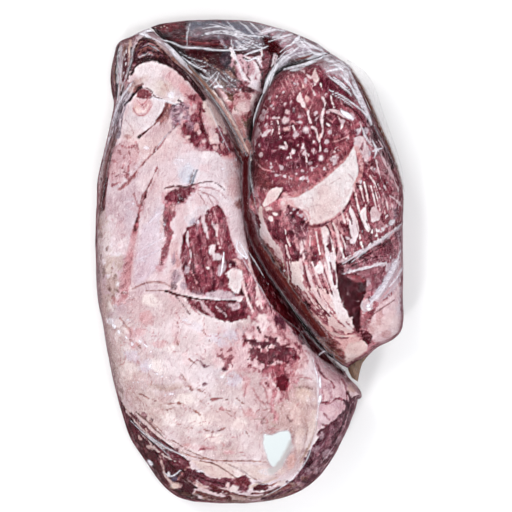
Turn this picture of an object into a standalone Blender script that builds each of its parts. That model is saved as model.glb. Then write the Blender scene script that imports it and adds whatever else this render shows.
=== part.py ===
"""Raw beef tri-tip, vacuum packed: three pieces of meat pressed together in one clear bag.

The pack lies flat. +X is its width, +Y its length and +Z is up. The origin is on the floor, under the
middle of the pack. Each piece of meat is a lump with a rounded belly, a steep wall where it is pressed
against its neighbour, and a crowned top. The bag is the film under and around the pieces up to their
widest line, with the web and the flap where the film stands free of the meat.
"""

import bpy
import bmesh
import numpy as np
from mathutils import Vector
from mathutils.geometry import delaunay_2d_cdt

# Driving dimensions, in metres
PACK_LENGTH = 0.310
WIDEST_HEIGHT = 0.024  # height of the widest line, where belly and top meet
BELLY_RADIUS = 0.020  # plan width of the rounding between the widest line and the flat base
FILM_THICKNESS = 0.0010  # thicker than real film, so that it is a sound solid
RIM_WIDTH = 0.0014  # of the film's level rim at the widest line
FILM_GAP = 0.0010  # sideways, between meat and film
REST_GAP = 0.0003  # between the meat's flat underside and the film it lies on
SEAM_GAP = 0.0006  # between two pieces of meat
CROWN_LARGE = 0.064
CROWN_SMALL = 0.061
CROWN_BACK = 0.046
DOME_DROP = 0.14  # share by which a top falls from its middle to its shoulders
DOME_REACH = 0.048  # plan width of that fall

# The outlines are drawn on a plan grid of photo pixels, the pack being 485 of them long
PLAN_LENGTH = 485.0
PLAN_MIDDLE = (249.75, 260.5)
PLAN_UNIT = PACK_LENGTH / PLAN_LENGTH

# How a top rounds down to its edges: plan width of the rounding at the upper and at the lower end of the
# edge, and the two plan places, counted down the grid, between which it changes
ROUND_LARGE_EDGE = (0.018, 0.032, 330, 440)
ROUND_LARGE_BACK = (0.012, 0.012, 34, 163)
ROUND_LARGE_SMALL = (0.013, 0.013, 163, 364)
ROUND_SMALL_EDGE = (0.014, 0.028, 110, 230)
ROUND_SMALL_BACK = (0.010, 0.010, 57, 163)
ROUND_SMALL_LARGE = (0.010, 0.026, 190, 280)
ROUND_BACK_EDGE = (0.030, 0.030, 18, 57)
ROUND_BACK_SEAM = (0.007, 0.007, 34, 163)

# Mesh sizes, in metres
OUTLINE_STEP = 0.0075
LEAST_STEP = OUTLINE_STEP * 0.35  # closer outline points are left out
TOP_STEP = 0.0062
BASE_STEP = 0.0180
TOP_RINGS = (0.0008, 0.0030, 0.0068)
BELLY_RINGS = (0.0010, 0.0030, 0.0060, 0.0100, 0.0145, BELLY_RADIUS)

# Points on the plan grid. The three seams meet at one point between the pieces
SEAM_MEETING = (248.5, 163)
SEAM_LARGE_BACK = [(148, 34), (167, 44), (187, 61), (207, 86), (224, 113), (238, 140), SEAM_MEETING]
SEAM_SMALL_BACK = [
    (337, 57), (316, 61), (294, 65), (279, 70), (268, 82), (261, 98), (255, 116), (250, 138), SEAM_MEETING,
]
SEAM_LARGE_SMALL = [
    SEAM_MEETING, (248.5, 190), (251, 216), (258, 244), (270, 270), (286, 297), (304, 324), (320, 347),
    (338, 364),
]

# The free edges, counterclockwise as seen from above
EDGE_LARGE = [
    (148, 34), (132, 37), (117, 41), (111, 58), (109, 78), (112, 98), (110, 120), (105, 142), (99, 168),
    (95.5, 196), (94.5, 236), (95.5, 280), (99, 315), (104, 343), (110, 371), (117, 401), (124, 425),
    (132, 441), (147, 466), (160, 484), (179, 498), (207, 502.5), (240, 503), (274, 498), (300, 490),
    (320, 475), (333, 459), (346, 436), (355, 416), (359, 400), (360, 387), (355, 377), (338, 364),
]
EDGE_SMALL = [
    (338, 364), (349, 358), (362, 352), (376, 344), (389, 339), (398, 333), (402.5, 320), (404.5, 300),
    (405, 250), (404, 202), (400, 176), (392, 153), (382, 134), (375, 117), (368, 98), (360, 80), (350, 66),
    (337, 57),
]
EDGE_BACK = [
    (337, 57), (322, 47.5), (305, 38), (285, 28.5), (265, 21.5), (245, 18), (220, 18), (190, 20.5), (166, 25),
    (148, 34),
]

# The free film: a flap along the small piece's upper shoulder, and a web across the notch under its tip
FLAP_OUTER = [
    (404, 194), (402, 174), (397, 153), (391, 135), (384, 114), (378, 95), (370, 76), (359, 65), (346, 58),
]
WEB_OUTER = [(358, 382), (360, 372), (363, 363), (371, 353), (381, 343), (391, 340)]

# Relief of the tops: plan place, plan radii, turn in degrees and height in metres
RELIEF_LARGE = [
    ("upper end", (140, 60), (45, 45), 0, -0.010),
    ("folded oval", (148, 106), (24, 17), 35, 0.0040),
    ("slit beside the oval", (164, 122), (5, 22), 35, -0.0030),
    ("lobe over the window", (220, 182), (26, 20), 0, 0.0040),
    ("lean window", (211, 258), (22, 42), -12, -0.0045),
    ("groove down the flank", (142, 210), (6, 60), 22, -0.0020),
    ("crease across the cap", (190, 297), (42, 5), 8, -0.0020),
    ("lower dome", (215, 380), (60, 55), 0, 0.0030),
    ("dent by the blotch", (275, 355), (22, 16), 40, -0.0022),
    ("lower rim", (235, 470), (70, 14), 0, -0.0050),
]
RELIEF_SMALL = [
    ("round lean face", (305, 118), (50, 50), 0, -0.0010),
    ("hard fat crescent", (326, 190), (34, 13), -38, 0.0032),
    ("dark hollow", (352, 292), (14, 30), -15, -0.0060),
    ("film pleat", (372, 246), (40, 5), -28, -0.0025),
    ("lower tip", (350, 350), (40, 26), 0, -0.0120),
    ("outer flank", (394, 280), (22, 60), 0, -0.0060),
    ("ribbed middle", (315, 262), (26, 30), 0, 0.0025),
]
RELIEF_BACK = [
    ("left hollow", (208, 58), (30, 12), 12, -0.0060),
    ("fat knuckle", (248, 74), (16, 16), 0, 0.0035),
    ("gully between the pieces", (249, 128), (12, 40), 0, -0.0060),
    ("right hollow", (278, 46), (12, 12), 0, -0.0040),
]
# Low swells all over a top: wavelength on the plan, direction in degrees, height in metres
SWELLS = [(97, 25, 0.0009), (61, 110, 0.0006), (43, 160, 0.0005)]

MEAT_COLOUR = (0.30, 0.06, 0.08, 1)
FAT_COLOUR = (0.80, 0.62, 0.62, 1)
DARK_MEAT_COLOUR = (0.12, 0.02, 0.03, 1)
FILM_COLOUR = (0.75, 0.74, 0.78, 1)


def clear_scene():
    for old in list(bpy.data.objects):
        bpy.data.objects.remove(old)


def material(name, colour, roughness):
    made = bpy.data.materials.new(name)
    made.use_nodes = True
    shader = made.node_tree.nodes["Principled BSDF"]
    shader.inputs["Base Color"].default_value = colour
    shader.inputs["Roughness"].default_value = roughness
    shader.inputs["Metallic"].default_value = 0.0
    return made


def plan(points):
    """Points of the plan grid, as metres from the pack's middle."""
    grid = np.array(points, float).reshape(-1, 2)
    return np.stack(
        [(grid[:, 0] - PLAN_MIDDLE[0]) * PLAN_UNIT, (PLAN_MIDDLE[1] - grid[:, 1]) * PLAN_UNIT], 1
    )


def smooth_curve(points, step=OUTLINE_STEP):
    """An even row of points along a Catmull-Rom curve through the given ones."""
    ends = np.vstack([2 * points[0] - points[1], points, 2 * points[-1] - points[-2]])
    fine = []
    for before, here, after, beyond in zip(ends, ends[1:], ends[2:], ends[3:]):
        for t in np.linspace(0, 1, 12, endpoint=False):
            fine.append(
                0.5 * (2 * here + (after - before) * t + (2 * before - 5 * here + 4 * after - beyond) * t**2
                       + (3 * here - before - 3 * after + beyond) * t**3)
            )
    fine = np.array(fine + [points[-1]])
    lengths = np.concatenate([[0], np.cumsum(np.linalg.norm(np.diff(fine, axis=0), axis=1))])
    at = np.linspace(0, lengths[-1], max(2, round(lengths[-1] / step)) + 1)
    return np.stack([np.interp(at, lengths, fine[:, axis]) for axis in (0, 1)], 1)


def normals_of(loop):
    """Unit normals that point into a counterclockwise closed loop."""
    along = np.roll(loop, -1, 0) - np.roll(loop, 1, 0)
    inward = np.stack([-along[:, 1], along[:, 0]], 1)
    return inward / np.linalg.norm(inward, axis=1)[:, None]


def without_crowding(loop):
    """The loop without points that nearly touch the one before them."""
    kept = [loop[0]]
    for point in loop[1:]:
        if np.linalg.norm(point - kept[-1]) > LEAST_STEP:
            kept.append(point)
    if np.linalg.norm(kept[-1] - kept[0]) < LEAST_STEP:
        kept.pop()
    return np.array(kept)


def joined(*arcs):
    """A closed loop of arcs that each start where the last one ends."""
    return without_crowding(np.vstack([arc[:-1] for arc in arcs]))


def distance(points, arc, closed=False):
    """Distance from each point to the nearest place on a row of points."""
    starts = arc if closed else arc[:-1]
    ends = np.roll(arc, -1, 0) if closed else arc[1:]
    nearest = np.full(len(points), np.inf)
    for start, end in zip(starts, ends):
        along = end - start
        share = np.clip((points - start) @ along / (along @ along), 0, 1)
        nearest = np.minimum(nearest, np.linalg.norm(points - start - share[:, None] * along, axis=1))
    return nearest


def inside(points, loop):
    """True for each point inside the closed loop."""
    hit = np.zeros(len(points), bool)
    for (x0, y0), (x1, y1) in zip(loop, np.roll(loop, -1, 0)):
        if y0 != y1:
            crosses = (points[:, 1] < y0) != (points[:, 1] < y1)
            hit ^= crosses & (points[:, 0] < x0 + (points[:, 1] - y0) * (x1 - x0) / (y1 - y0))
    return hit


def net_points(loop, rings, step):
    """Points inside a loop: rings at the given depths, then an even triangular grid."""
    kept = []
    for depth in rings:
        ring = loop + normals_of(loop) * depth
        kept.append(ring[inside(ring, loop) & (distance(ring, loop, True) > depth * 0.9)])
    low, high = loop.min(0), loop.max(0)
    grid = []
    for number, y in enumerate(np.arange(low[1], high[1], step * np.sqrt(3) / 2)):
        across = np.arange(low[0] + (number % 2) * step / 2, high[0], step)
        grid += [(x, y) for x in across]
    grid = np.array(grid)
    core = max(rings) + step * 0.55
    kept.append(grid[inside(grid, loop) & (distance(grid, loop, True) > core)])
    return np.vstack(kept)


def triangles(loop, inner, seams=()):
    """A triangulation of the loop with its inner points, as points and faces. The loop comes first.

    No face crosses a seam, which is a closed loop inside the first."""
    points = []
    edges = []
    for closed in (loop, *seams):
        first = len(points)
        edges += [(first + i, first + (i + 1) % len(closed)) for i in range(len(closed))]
        points += [Vector(p) for p in closed]
    points += [Vector(p) for p in inner]
    made, _, faces, *_ = delaunay_2d_cdt(points, edges, [], 1, 1e-7)
    return np.array([[p.x, p.y] for p in made]), faces


def closed_solid(name, top, base, loop_size, finish):
    """A solid from an upper and a lower net, (points, heights, faces), that share one outline.

    Where the outline's heights differ, a wall joins them."""
    mesh = bmesh.new()
    sides = []
    for points, heights, faces in (top, base):
        sides.append([mesh.verts.new((x, y, z)) for (x, y), z in zip(points, heights)])
    for (points, _, faces), verts, upward in zip((top, base), sides, (True, False)):
        for face in faces:
            corners = points[list(face)]
            turn = np.cross(corners[1] - corners[0], corners[2] - corners[0])
            order = face if (turn > 0) == upward else face[::-1]
            mesh.faces.new([verts[i] for i in order])
    for i in range(loop_size):
        j = (i + 1) % loop_size
        mesh.faces.new((sides[1][i], sides[1][j], sides[0][j], sides[0][i]))
    bmesh.ops.remove_doubles(mesh, verts=mesh.verts, dist=1e-6)
    bmesh.ops.dissolve_degenerate(mesh, edges=mesh.edges, dist=1e-6)
    bmesh.ops.recalc_face_normals(mesh, faces=mesh.faces)
    data = bpy.data.meshes.new(name)
    mesh.to_mesh(data)
    mesh.free()
    data.shade_smooth()
    made = bpy.data.objects.new(name, data)
    made.data.materials.append(finish)
    bpy.context.scene.collection.objects.link(made)
    return made


def quarter_round(share):
    """Rise from 0 to 1 of a quarter circle, steep at share 0 and level from share 1."""
    return np.sqrt(1 - (1 - np.clip(share, 0, 1)) ** 2)


def relief(points, features):
    """Height that named dents and swells add at each point."""
    grid = np.stack([points[:, 0] / PLAN_UNIT + PLAN_MIDDLE[0], PLAN_MIDDLE[1] - points[:, 1] / PLAN_UNIT], 1)
    added = np.zeros(len(points))
    for _, middle, radii, turn, height in features:
        away = grid - np.array(middle)
        c, s = np.cos(np.radians(turn)), np.sin(np.radians(turn))
        across = (away[:, 0] * c + away[:, 1] * s) / radii[0]
        along = (-away[:, 0] * s + away[:, 1] * c) / radii[1]
        added += height * np.exp(-(across**2 + along**2))
    for length, heading, height in SWELLS:
        c, s = np.cos(np.radians(heading)), np.sin(np.radians(heading))
        added += height * np.sin(2 * np.pi * (grid[:, 0] * c + grid[:, 1] * s) / length + heading)
    return added


def ease(value, start, end):
    """0 before start, 1 after end, and smooth between them."""
    share = np.clip((value - start) / (end - start), 0, 1)
    return share * share * (3 - 2 * share)


def down_plan(points):
    """How far down the plan grid each point is."""
    return PLAN_MIDDLE[1] - points[:, 1] / PLAN_UNIT


def belly(depth, radius=BELLY_RADIUS):
    """Share of the widest height left at a depth in from the widest line."""
    return 1 - quarter_round(depth / radius)


def set_in(loop, pack_edge):
    """A lump's outline: its loop, drawn in from the film round it and from the lumps beside it."""
    on_edge = distance(loop, pack_edge, True) < OUTLINE_STEP * 0.1
    gaps = np.where(on_edge, RIM_WIDTH + FILM_GAP, SEAM_GAP / 2)
    return loop + normals_of(loop) * gaps[:, None]


def spliced(loop, arc):
    """The counterclockwise loop with the stretch between the arc's ends replaced by the arc."""
    start = int(np.argmin(np.linalg.norm(loop - arc[0], axis=1)))
    end = int(np.argmin(np.linalg.norm(loop - arc[-1], axis=1)))
    turned = np.roll(loop, -end, 0)
    stretch = (start - end) % len(loop)
    return np.vstack([turned[1:stretch], arc])


def base_net(loop):
    """The net of a lump's underside, finer on its belly than on its flat base."""
    return triangles(loop, net_points(loop, BELLY_RINGS, BASE_STEP))


def meat(name, loop, underside, pack_edge, shoulders, crown, features, finish):
    """A lump of meat on its base net. shoulders are pairs of an edge and how the top rounds down to it."""

    def top_height(points):
        rise = np.ones(len(points))
        for arc, (first, last, start, end) in shoulders:
            width = first + (last - first) * ease(down_plan(points), start, end)
            rise *= quarter_round(distance(points, arc) / width)
        middle = quarter_round(distance(points, loop, True) / DOME_REACH)
        rise *= 1 - DOME_DROP * (1 - middle)
        return WIDEST_HEIGHT + rise * (crown - WIDEST_HEIGHT + relief(points, features))

    def base_height(points):
        floor = FILM_THICKNESS + REST_GAP
        depth = np.maximum(distance(points, pack_edge, True) - RIM_WIDTH - FILM_GAP, 0)
        return floor + (WIDEST_HEIGHT - floor) * belly(depth, BELLY_RADIUS - FILM_GAP)

    size = len(loop)
    tops, top_faces = triangles(loop, net_points(loop, TOP_RINGS, TOP_STEP))
    bases, base_faces = underside
    upper = (tops, top_height(tops), top_faces)
    upper[1][:size] = WIDEST_HEIGHT
    lower = (bases, base_height(bases), base_faces)
    return closed_solid(name, upper, lower, size, finish)


def bag(name, silhouette, pack_edge, lumps, finish):
    """The film that the meat lies in: flat under it, up round its belly, and level where it stands free.

    lumps are the outlines and base nets of the meat, whose facets those of the film follow."""
    rim = pack_edge + normals_of(pack_edge) * RIM_WIDTH
    free = np.vstack([pack_edge, rim])
    free = free[inside(free, silhouette) & (distance(free, silhouette, True) > RIM_WIDTH / 2)]
    under = []
    for outline, (net, _) in lumps:
        free = free[~inside(free, outline)]
        under.append(net[len(outline):])
    inner = np.vstack([free] + under)
    points, faces = triangles(silhouette, inner, [outline for outline, _ in lumps])
    depth = distance(points, pack_edge, True) * inside(points, pack_edge)
    upper = FILM_THICKNESS + (WIDEST_HEIGHT - FILM_THICKNESS) * belly(np.maximum(depth - RIM_WIDTH, 0))
    lower = (WIDEST_HEIGHT - FILM_THICKNESS) * belly(depth, BELLY_RADIUS + RIM_WIDTH - FILM_THICKNESS)
    return closed_solid(name, (points, upper, faces), (points, lower, faces), len(silhouette), finish)


def build():
    clear_scene()
    fat = material("fat_cap", FAT_COLOUR, 0.35)
    lean = material("marbled_lean", MEAT_COLOUR, 0.35)
    dark_lean = material("dark_lean", DARK_MEAT_COLOUR, 0.30)
    film = material("film", FILM_COLOUR, 0.15)

    seam_large_back = smooth_curve(plan(SEAM_LARGE_BACK))
    seam_small_back = smooth_curve(plan(SEAM_SMALL_BACK))
    seam_large_small = smooth_curve(plan(SEAM_LARGE_SMALL))
    edge_large = smooth_curve(plan(EDGE_LARGE))
    edge_small = smooth_curve(plan(EDGE_SMALL))
    edge_back = smooth_curve(plan(EDGE_BACK))
    pack_edge = joined(edge_large, edge_small, edge_back)

    large = set_in(joined(edge_large, seam_large_small[::-1], seam_large_back[::-1]), pack_edge)
    small = set_in(joined(edge_small, seam_small_back, seam_large_small), pack_edge)
    back = set_in(joined(edge_back, seam_large_back, seam_small_back[::-1]), pack_edge)
    under_large = base_net(large)
    under_small = base_net(small)
    under_back = base_net(back)

    meat("meat_large", large, under_large, pack_edge, [
        (edge_large, ROUND_LARGE_EDGE),
        (seam_large_back, ROUND_LARGE_BACK),
        (seam_large_small, ROUND_LARGE_SMALL),
    ], CROWN_LARGE, RELIEF_LARGE, fat)
    meat("meat_small", small, under_small, pack_edge, [
        (edge_small, ROUND_SMALL_EDGE),
        (seam_small_back, ROUND_SMALL_BACK),
        (seam_large_small, ROUND_SMALL_LARGE),
    ], CROWN_SMALL, RELIEF_SMALL, lean)
    meat("meat_back", back, under_back, pack_edge, [
        (edge_back, ROUND_BACK_EDGE),
        (seam_large_back, ROUND_BACK_SEAM),
        (seam_small_back, ROUND_BACK_SEAM),
    ], CROWN_BACK, RELIEF_BACK, dark_lean)

    flap = smooth_curve(plan(FLAP_OUTER))
    web = smooth_curve(plan(WEB_OUTER))
    silhouette = without_crowding(spliced(spliced(pack_edge, web), flap))
    lumps = [(large, under_large), (small, under_small), (back, under_back)]
    bag("bag", silhouette, pack_edge, lumps, film)


build()
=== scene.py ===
import itertools
import math

import bmesh
import bpy
import numpy as np
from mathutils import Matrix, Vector
from mathutils.bvhtree import BVHTree


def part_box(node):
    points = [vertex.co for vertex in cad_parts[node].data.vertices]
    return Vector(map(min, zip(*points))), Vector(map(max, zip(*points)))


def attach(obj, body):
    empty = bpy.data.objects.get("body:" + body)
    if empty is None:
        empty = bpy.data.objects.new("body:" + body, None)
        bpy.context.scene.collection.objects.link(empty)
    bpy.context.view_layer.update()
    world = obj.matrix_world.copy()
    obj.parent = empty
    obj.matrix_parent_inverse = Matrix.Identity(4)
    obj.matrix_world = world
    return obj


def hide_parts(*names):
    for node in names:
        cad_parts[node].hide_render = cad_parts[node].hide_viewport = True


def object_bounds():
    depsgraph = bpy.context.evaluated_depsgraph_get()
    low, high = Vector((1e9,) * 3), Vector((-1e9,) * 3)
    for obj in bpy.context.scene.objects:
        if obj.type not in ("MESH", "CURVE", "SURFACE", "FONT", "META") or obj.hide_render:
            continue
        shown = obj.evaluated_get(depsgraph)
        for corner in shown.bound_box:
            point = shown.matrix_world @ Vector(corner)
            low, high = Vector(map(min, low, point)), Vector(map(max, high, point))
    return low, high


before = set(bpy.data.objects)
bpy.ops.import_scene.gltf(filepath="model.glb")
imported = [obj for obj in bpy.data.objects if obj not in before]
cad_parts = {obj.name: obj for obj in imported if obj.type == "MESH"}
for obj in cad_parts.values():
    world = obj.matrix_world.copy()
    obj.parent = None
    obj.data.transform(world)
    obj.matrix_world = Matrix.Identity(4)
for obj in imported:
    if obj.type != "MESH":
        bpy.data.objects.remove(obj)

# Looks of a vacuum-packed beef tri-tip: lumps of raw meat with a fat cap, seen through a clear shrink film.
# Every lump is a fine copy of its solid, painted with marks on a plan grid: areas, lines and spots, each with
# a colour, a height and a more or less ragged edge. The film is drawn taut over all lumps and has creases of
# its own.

CAD_LOW, CAD_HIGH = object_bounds()

# The plan grid is the photo's: its pixels cover the pack, about 485 of them from end to end
PLAN_LENGTH = 485.65
PLAN_MIDDLE = (249.6, 262.0)
PLAN_UNIT = (CAD_HIGH.y - CAD_LOW.y) / PLAN_LENGTH
FRAME_PIXELS = 512
CAMERA_HEIGHT = 2.2
SENSOR_WIDTH = 36.0
FOCUS_HEIGHT = 0.028  # a length at this height measures on the image what it does on the plan grid
WIDEST_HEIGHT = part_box("bag")[1].z  # of the pack's outline above the floor
DIRECTIONS = 360  # steps in which the outline's reach is kept round the middle
MOST_DRAWN_IN = -0.05  # how far a piece's edge may move to meet the outline, as a share of its reach
MOST_DRAWN_OUT = 0.06

# Distances in metres
FILM_OFF = 0.0006  # film over meat
LEAST_ROOM = 0.00025  # between a lump and the film
TAUT_RADIUS = 0.0040  # the film bridges hollows narrower than twice this
RIM_REACH = 0.0008  # how far the film's joined rim stands out
RIM_HALF = 0.0050  # half the rim's height
FLOOR_DROP = 0.0007  # the film's underside comes down to the floor
FLOOR_LEVEL = -0.0002
FLOOR_HALF = 4
LARGE_VOXEL = 0.00163
SMALL_VOXEL = 0.00120
TAUT_VOXEL = 0.0016
SKIN_VOXEL = 0.00163

# Rounds of smoothing, and how much a surface looks up where it is made finer
LUMP_ROUNDS = 14
FINE_ROUNDS = 3
COARSE_FILM_ROUNDS = 8
TAUT_FILM_ROUNDS = 10
SKIN_ROUNDS = 6
FINE_SKIN_ROUNDS = 2
LUMP_LOOKS_UP = 0.33
FILM_LOOKS_UP = 0.25

# The loose strips of film: rows and columns of faces, half their thickness, and the inner and outer edges
STRIP_ROWS = 8
STRIP_COLUMNS = 60
STRIP_HALF = 0.0005
STRIP_HEIGHT = WIDEST_HEIGHT - 0.0008
FLAP_INNER = "400 188 393 162 384 140 375 120 368 103 360 87 348 69"
FLAP_OUTER = "405 192 403 172 397 150 391 133 384 113 378 95 370 77 358 65 347 59"
FLAP_WAVE = 0.0005
FLAP_HAZES = (0.04, 0.75)  # of the strip, and along its inner edge
WEB_INNER = "352 378 348 368 352 360 364 351 378 342 388 336"
WEB_OUTER = "358 382 360 372 363 363 371 353 381 343 391 340"
WEB_WAVE = 0.0004
WEB_HAZES = (0.90, 0.90)

# The pack's outline on the plan grid, without the loose flap and web, clockwise from the top
OUTLINE = """
220 19 250 20.5 286 30 312 40 327 50 347 64 358 80 366 96 374 114 382 132 391 152 398 170 403 186 404.5 200
403.5 220 403.5 260 403.5 300 404 318 401 332 392 341 378 348 368 358 361 370 362 382 361 392 358 402 356 411
352 421 348 431 343 441 338 451 333 460 325 471 316 481 302 491 284 498.5 260 503 235 504.5 205 503.5
185 500.5 170 493 157 480 143 460 130 440 123 420 117 400 112 380 106 350 101 320 98 308 96 290 95 265
94.5 240 95.5 205 96.5 180 100 162 105 141 109.5 120 112 100 109.5 85 110.5 68 114 53 119 42 130 36 144 29
160 24 186 20
"""
# Where a lump swells out: a path on the plan grid, its reach, and how far it moves right and down in plan
# pixels and up in millimetres
BULGES = {
    "meat_small": ("258 196 252 210 250 222 253 234 259 246", 8, (-6.0, 1.5, 1.2)),
    "meat_back": ("232 84 240 100 246 118 248 136", 12, (0, 0, 3.0)),
}

# Each lump's fibres: their turn in degrees at the pack's middle, and how much more 100 plan pixels further on
FIBRE_TURNS = {"meat_large": (4, -6), "meat_small": (0, -10), "meat_back": (70, 0)}
# How far each lump's underside tends to lean, or below 0 to fat
LEAN_BELOW = {"meat_large": -0.10, "meat_small": 0.15, "meat_back": 0.30}

# Display colours, 0 to 255
FAT = (231, 214, 221)
FAT_WHITE = (244, 238, 241)
FAT_PINK = (226, 196, 202)
FAT_PALE = (240, 233, 239)
FAT_DULL = (218, 188, 186)
FAT_VEIN = (184, 120, 126)
BLUSH = (205, 150, 156)
MARBLE = (228, 192, 198)
LEAN = (130, 60, 74)
LEAN_PALE = (162, 94, 106)
LEAN_DARK = (88, 26, 42)
SMALL_BASE = (164, 98, 108)
BACK_BASE = (62, 18, 26)
TORN_BASE = (208, 156, 164)
TORN_DARK = (150, 80, 92)
TORN_PALE = (238, 214, 218)
FIBRE_LIGHT = (246, 232, 237)  # what the finest fibres and grit are drawn towards where they catch the light
MILK = (240, 237, 246)  # the film where it is milky
GLARE = (208, 215, 216)
GLARE_DIM = (206, 206, 206)
# painted shade along the flap's inner edge
FLAP_EDGE_SHADE = (92, 38, 20)
WEB_SHADE = (132, 106, 90)
WEB_STAIN = (96, 70, 56)

CRISPNESS = 0.55  # how much the paint's local contrast is raised
STEEP_SHADE = 0.30  # painted shade: how much darker the meat is painted on its steep sides
PAINT_DEPTH = np.array([0.84, 0.79, 0.78])  # the paint against its display colours, for the studio's light
HALO_WIDTH = 1.3  # how much wider than its spot a halo is on each side
HALO_COVER = 0.6
HALO_EDGE = 0.6
HALO_RAGGED = 1.5
CREASE_MARGIN = 1.2  # spare width with which the coarse film looks for creases

# The film's shader: how it bends light, and its reflections
FILM_INDEX = 1.32
MOST_GLOSS = 0.05
GLOSS_TINT = (0.32, 0.29, 0.30, 1)
GLOSS_ROUGHNESS = 0.12

# Where the film is drawn one way: an outline on the plan grid and the way's angle, or the place from which
# the creases fan out
DRAWN_WAYS = (
    ("120 10 262 4 266 40 240 66 200 60 160 40", 4),
    ("160 44 250 62 262 100 246 150 200 90", 50),
    ("90 60 128 60 118 130 96 210 84 200", 98),
    ("310 60 352 52 372 100 380 150 352 120 320 90", 35),
    ("330 280 404 200 410 300 370 320", -35),
    ("110 395 180 450 190 500 140 480", 42),
)
DRAWN_FANS = (
    ("262 4 350 30 350 60 320 64 280 64 262 44", (258, 38)),
    ("262 44 284 62 270 84 262 100 250 90", (252, 130)),
)
FAN_START = 4
FAN_REACH = 20
FAN_ALONG = 34
FAN_ROUND = 42
DRAWN_DRIFT = 2.2  # how far the drawn creases wander
DRAWN_SIZE = (2.2, 8.5, 0.0040)  # width and length of a drawn crease in plan pixels, and its height in metres
GRAIN_SIZE = (3.4, 19.0, 0.0060)  # the same for the meat's fibres

# On the plan grid: the lamp's reflection in the film, the dim edge of it, and the torn patch low on the cap
GLARE_OUTLINE = "264 434 272 435 279 432 289 431 291 440 288 450 282 461 273 467 267 456 263 444"
DIM_OUTLINE = "291 438 292 447 286 459 281 468 275 474 268 474 268 469 274 466 281 458 286 448"
TORN_OUTLINE = "238 332 262 322 286 330 302 344 304 366 294 384 288 400 270 398 260 374 242 368 234 350"

# The studio: the sky's linear colours, and each lamp's name, place, size, power and colour
WORLD_SIDES = (0.82, 0.84, 0.86)
WORLD_OVERHEAD = (0.10, 0.10, 0.11)
LIGHTS = (
    ("key", (-0.62, 0.62, 1.28), (0.60, 0.60), 9.5, (1.0, 0.99, 0.97)),
    ("fill", (0.85, -0.2, 1.05), (0.8, 0.8), 4.7, (0.97, 0.98, 1.0)),
    ("top", (0.10, -0.12, 1.5), (0.22, 0.16), 3.7, (1.0, 1.0, 1.0)),
    ("glint", (-0.35, -0.75, 1.0), (0.12, 0.30), 3.5, (1.0, 1.0, 1.0)),
)


# The lumps' marks, in the order in which they are laid, with display colours and places on the plan grid.
# A row that starts with areas, lines or spots says how the marks after it are laid: how much they cover,
# their height in millimetres, how soft and how ragged their edge is, and what fine patterns they bring.
# A row of marks has their colour, for spots with a halo also the halo's, and after the colon the marks: for
# areas an outline, for lines a width (or "start/end") and a path, for spots a middle, two radii and a turn
# in degrees. A row that starts with a space goes on from the one before

# Broad darker patches over the cap are painted shade, darker to the left and low down; the pale one is a
# cloud
# a painted shadow wedge beside the fold
# margins; the broad darker band down the left one is painted shade
# painted shade along a fold
# painted shade along this crease
# painted shade on the cap's upper end
# painted shade round the knob: a brown wedge, a dark shadow line and the shade below it
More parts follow.
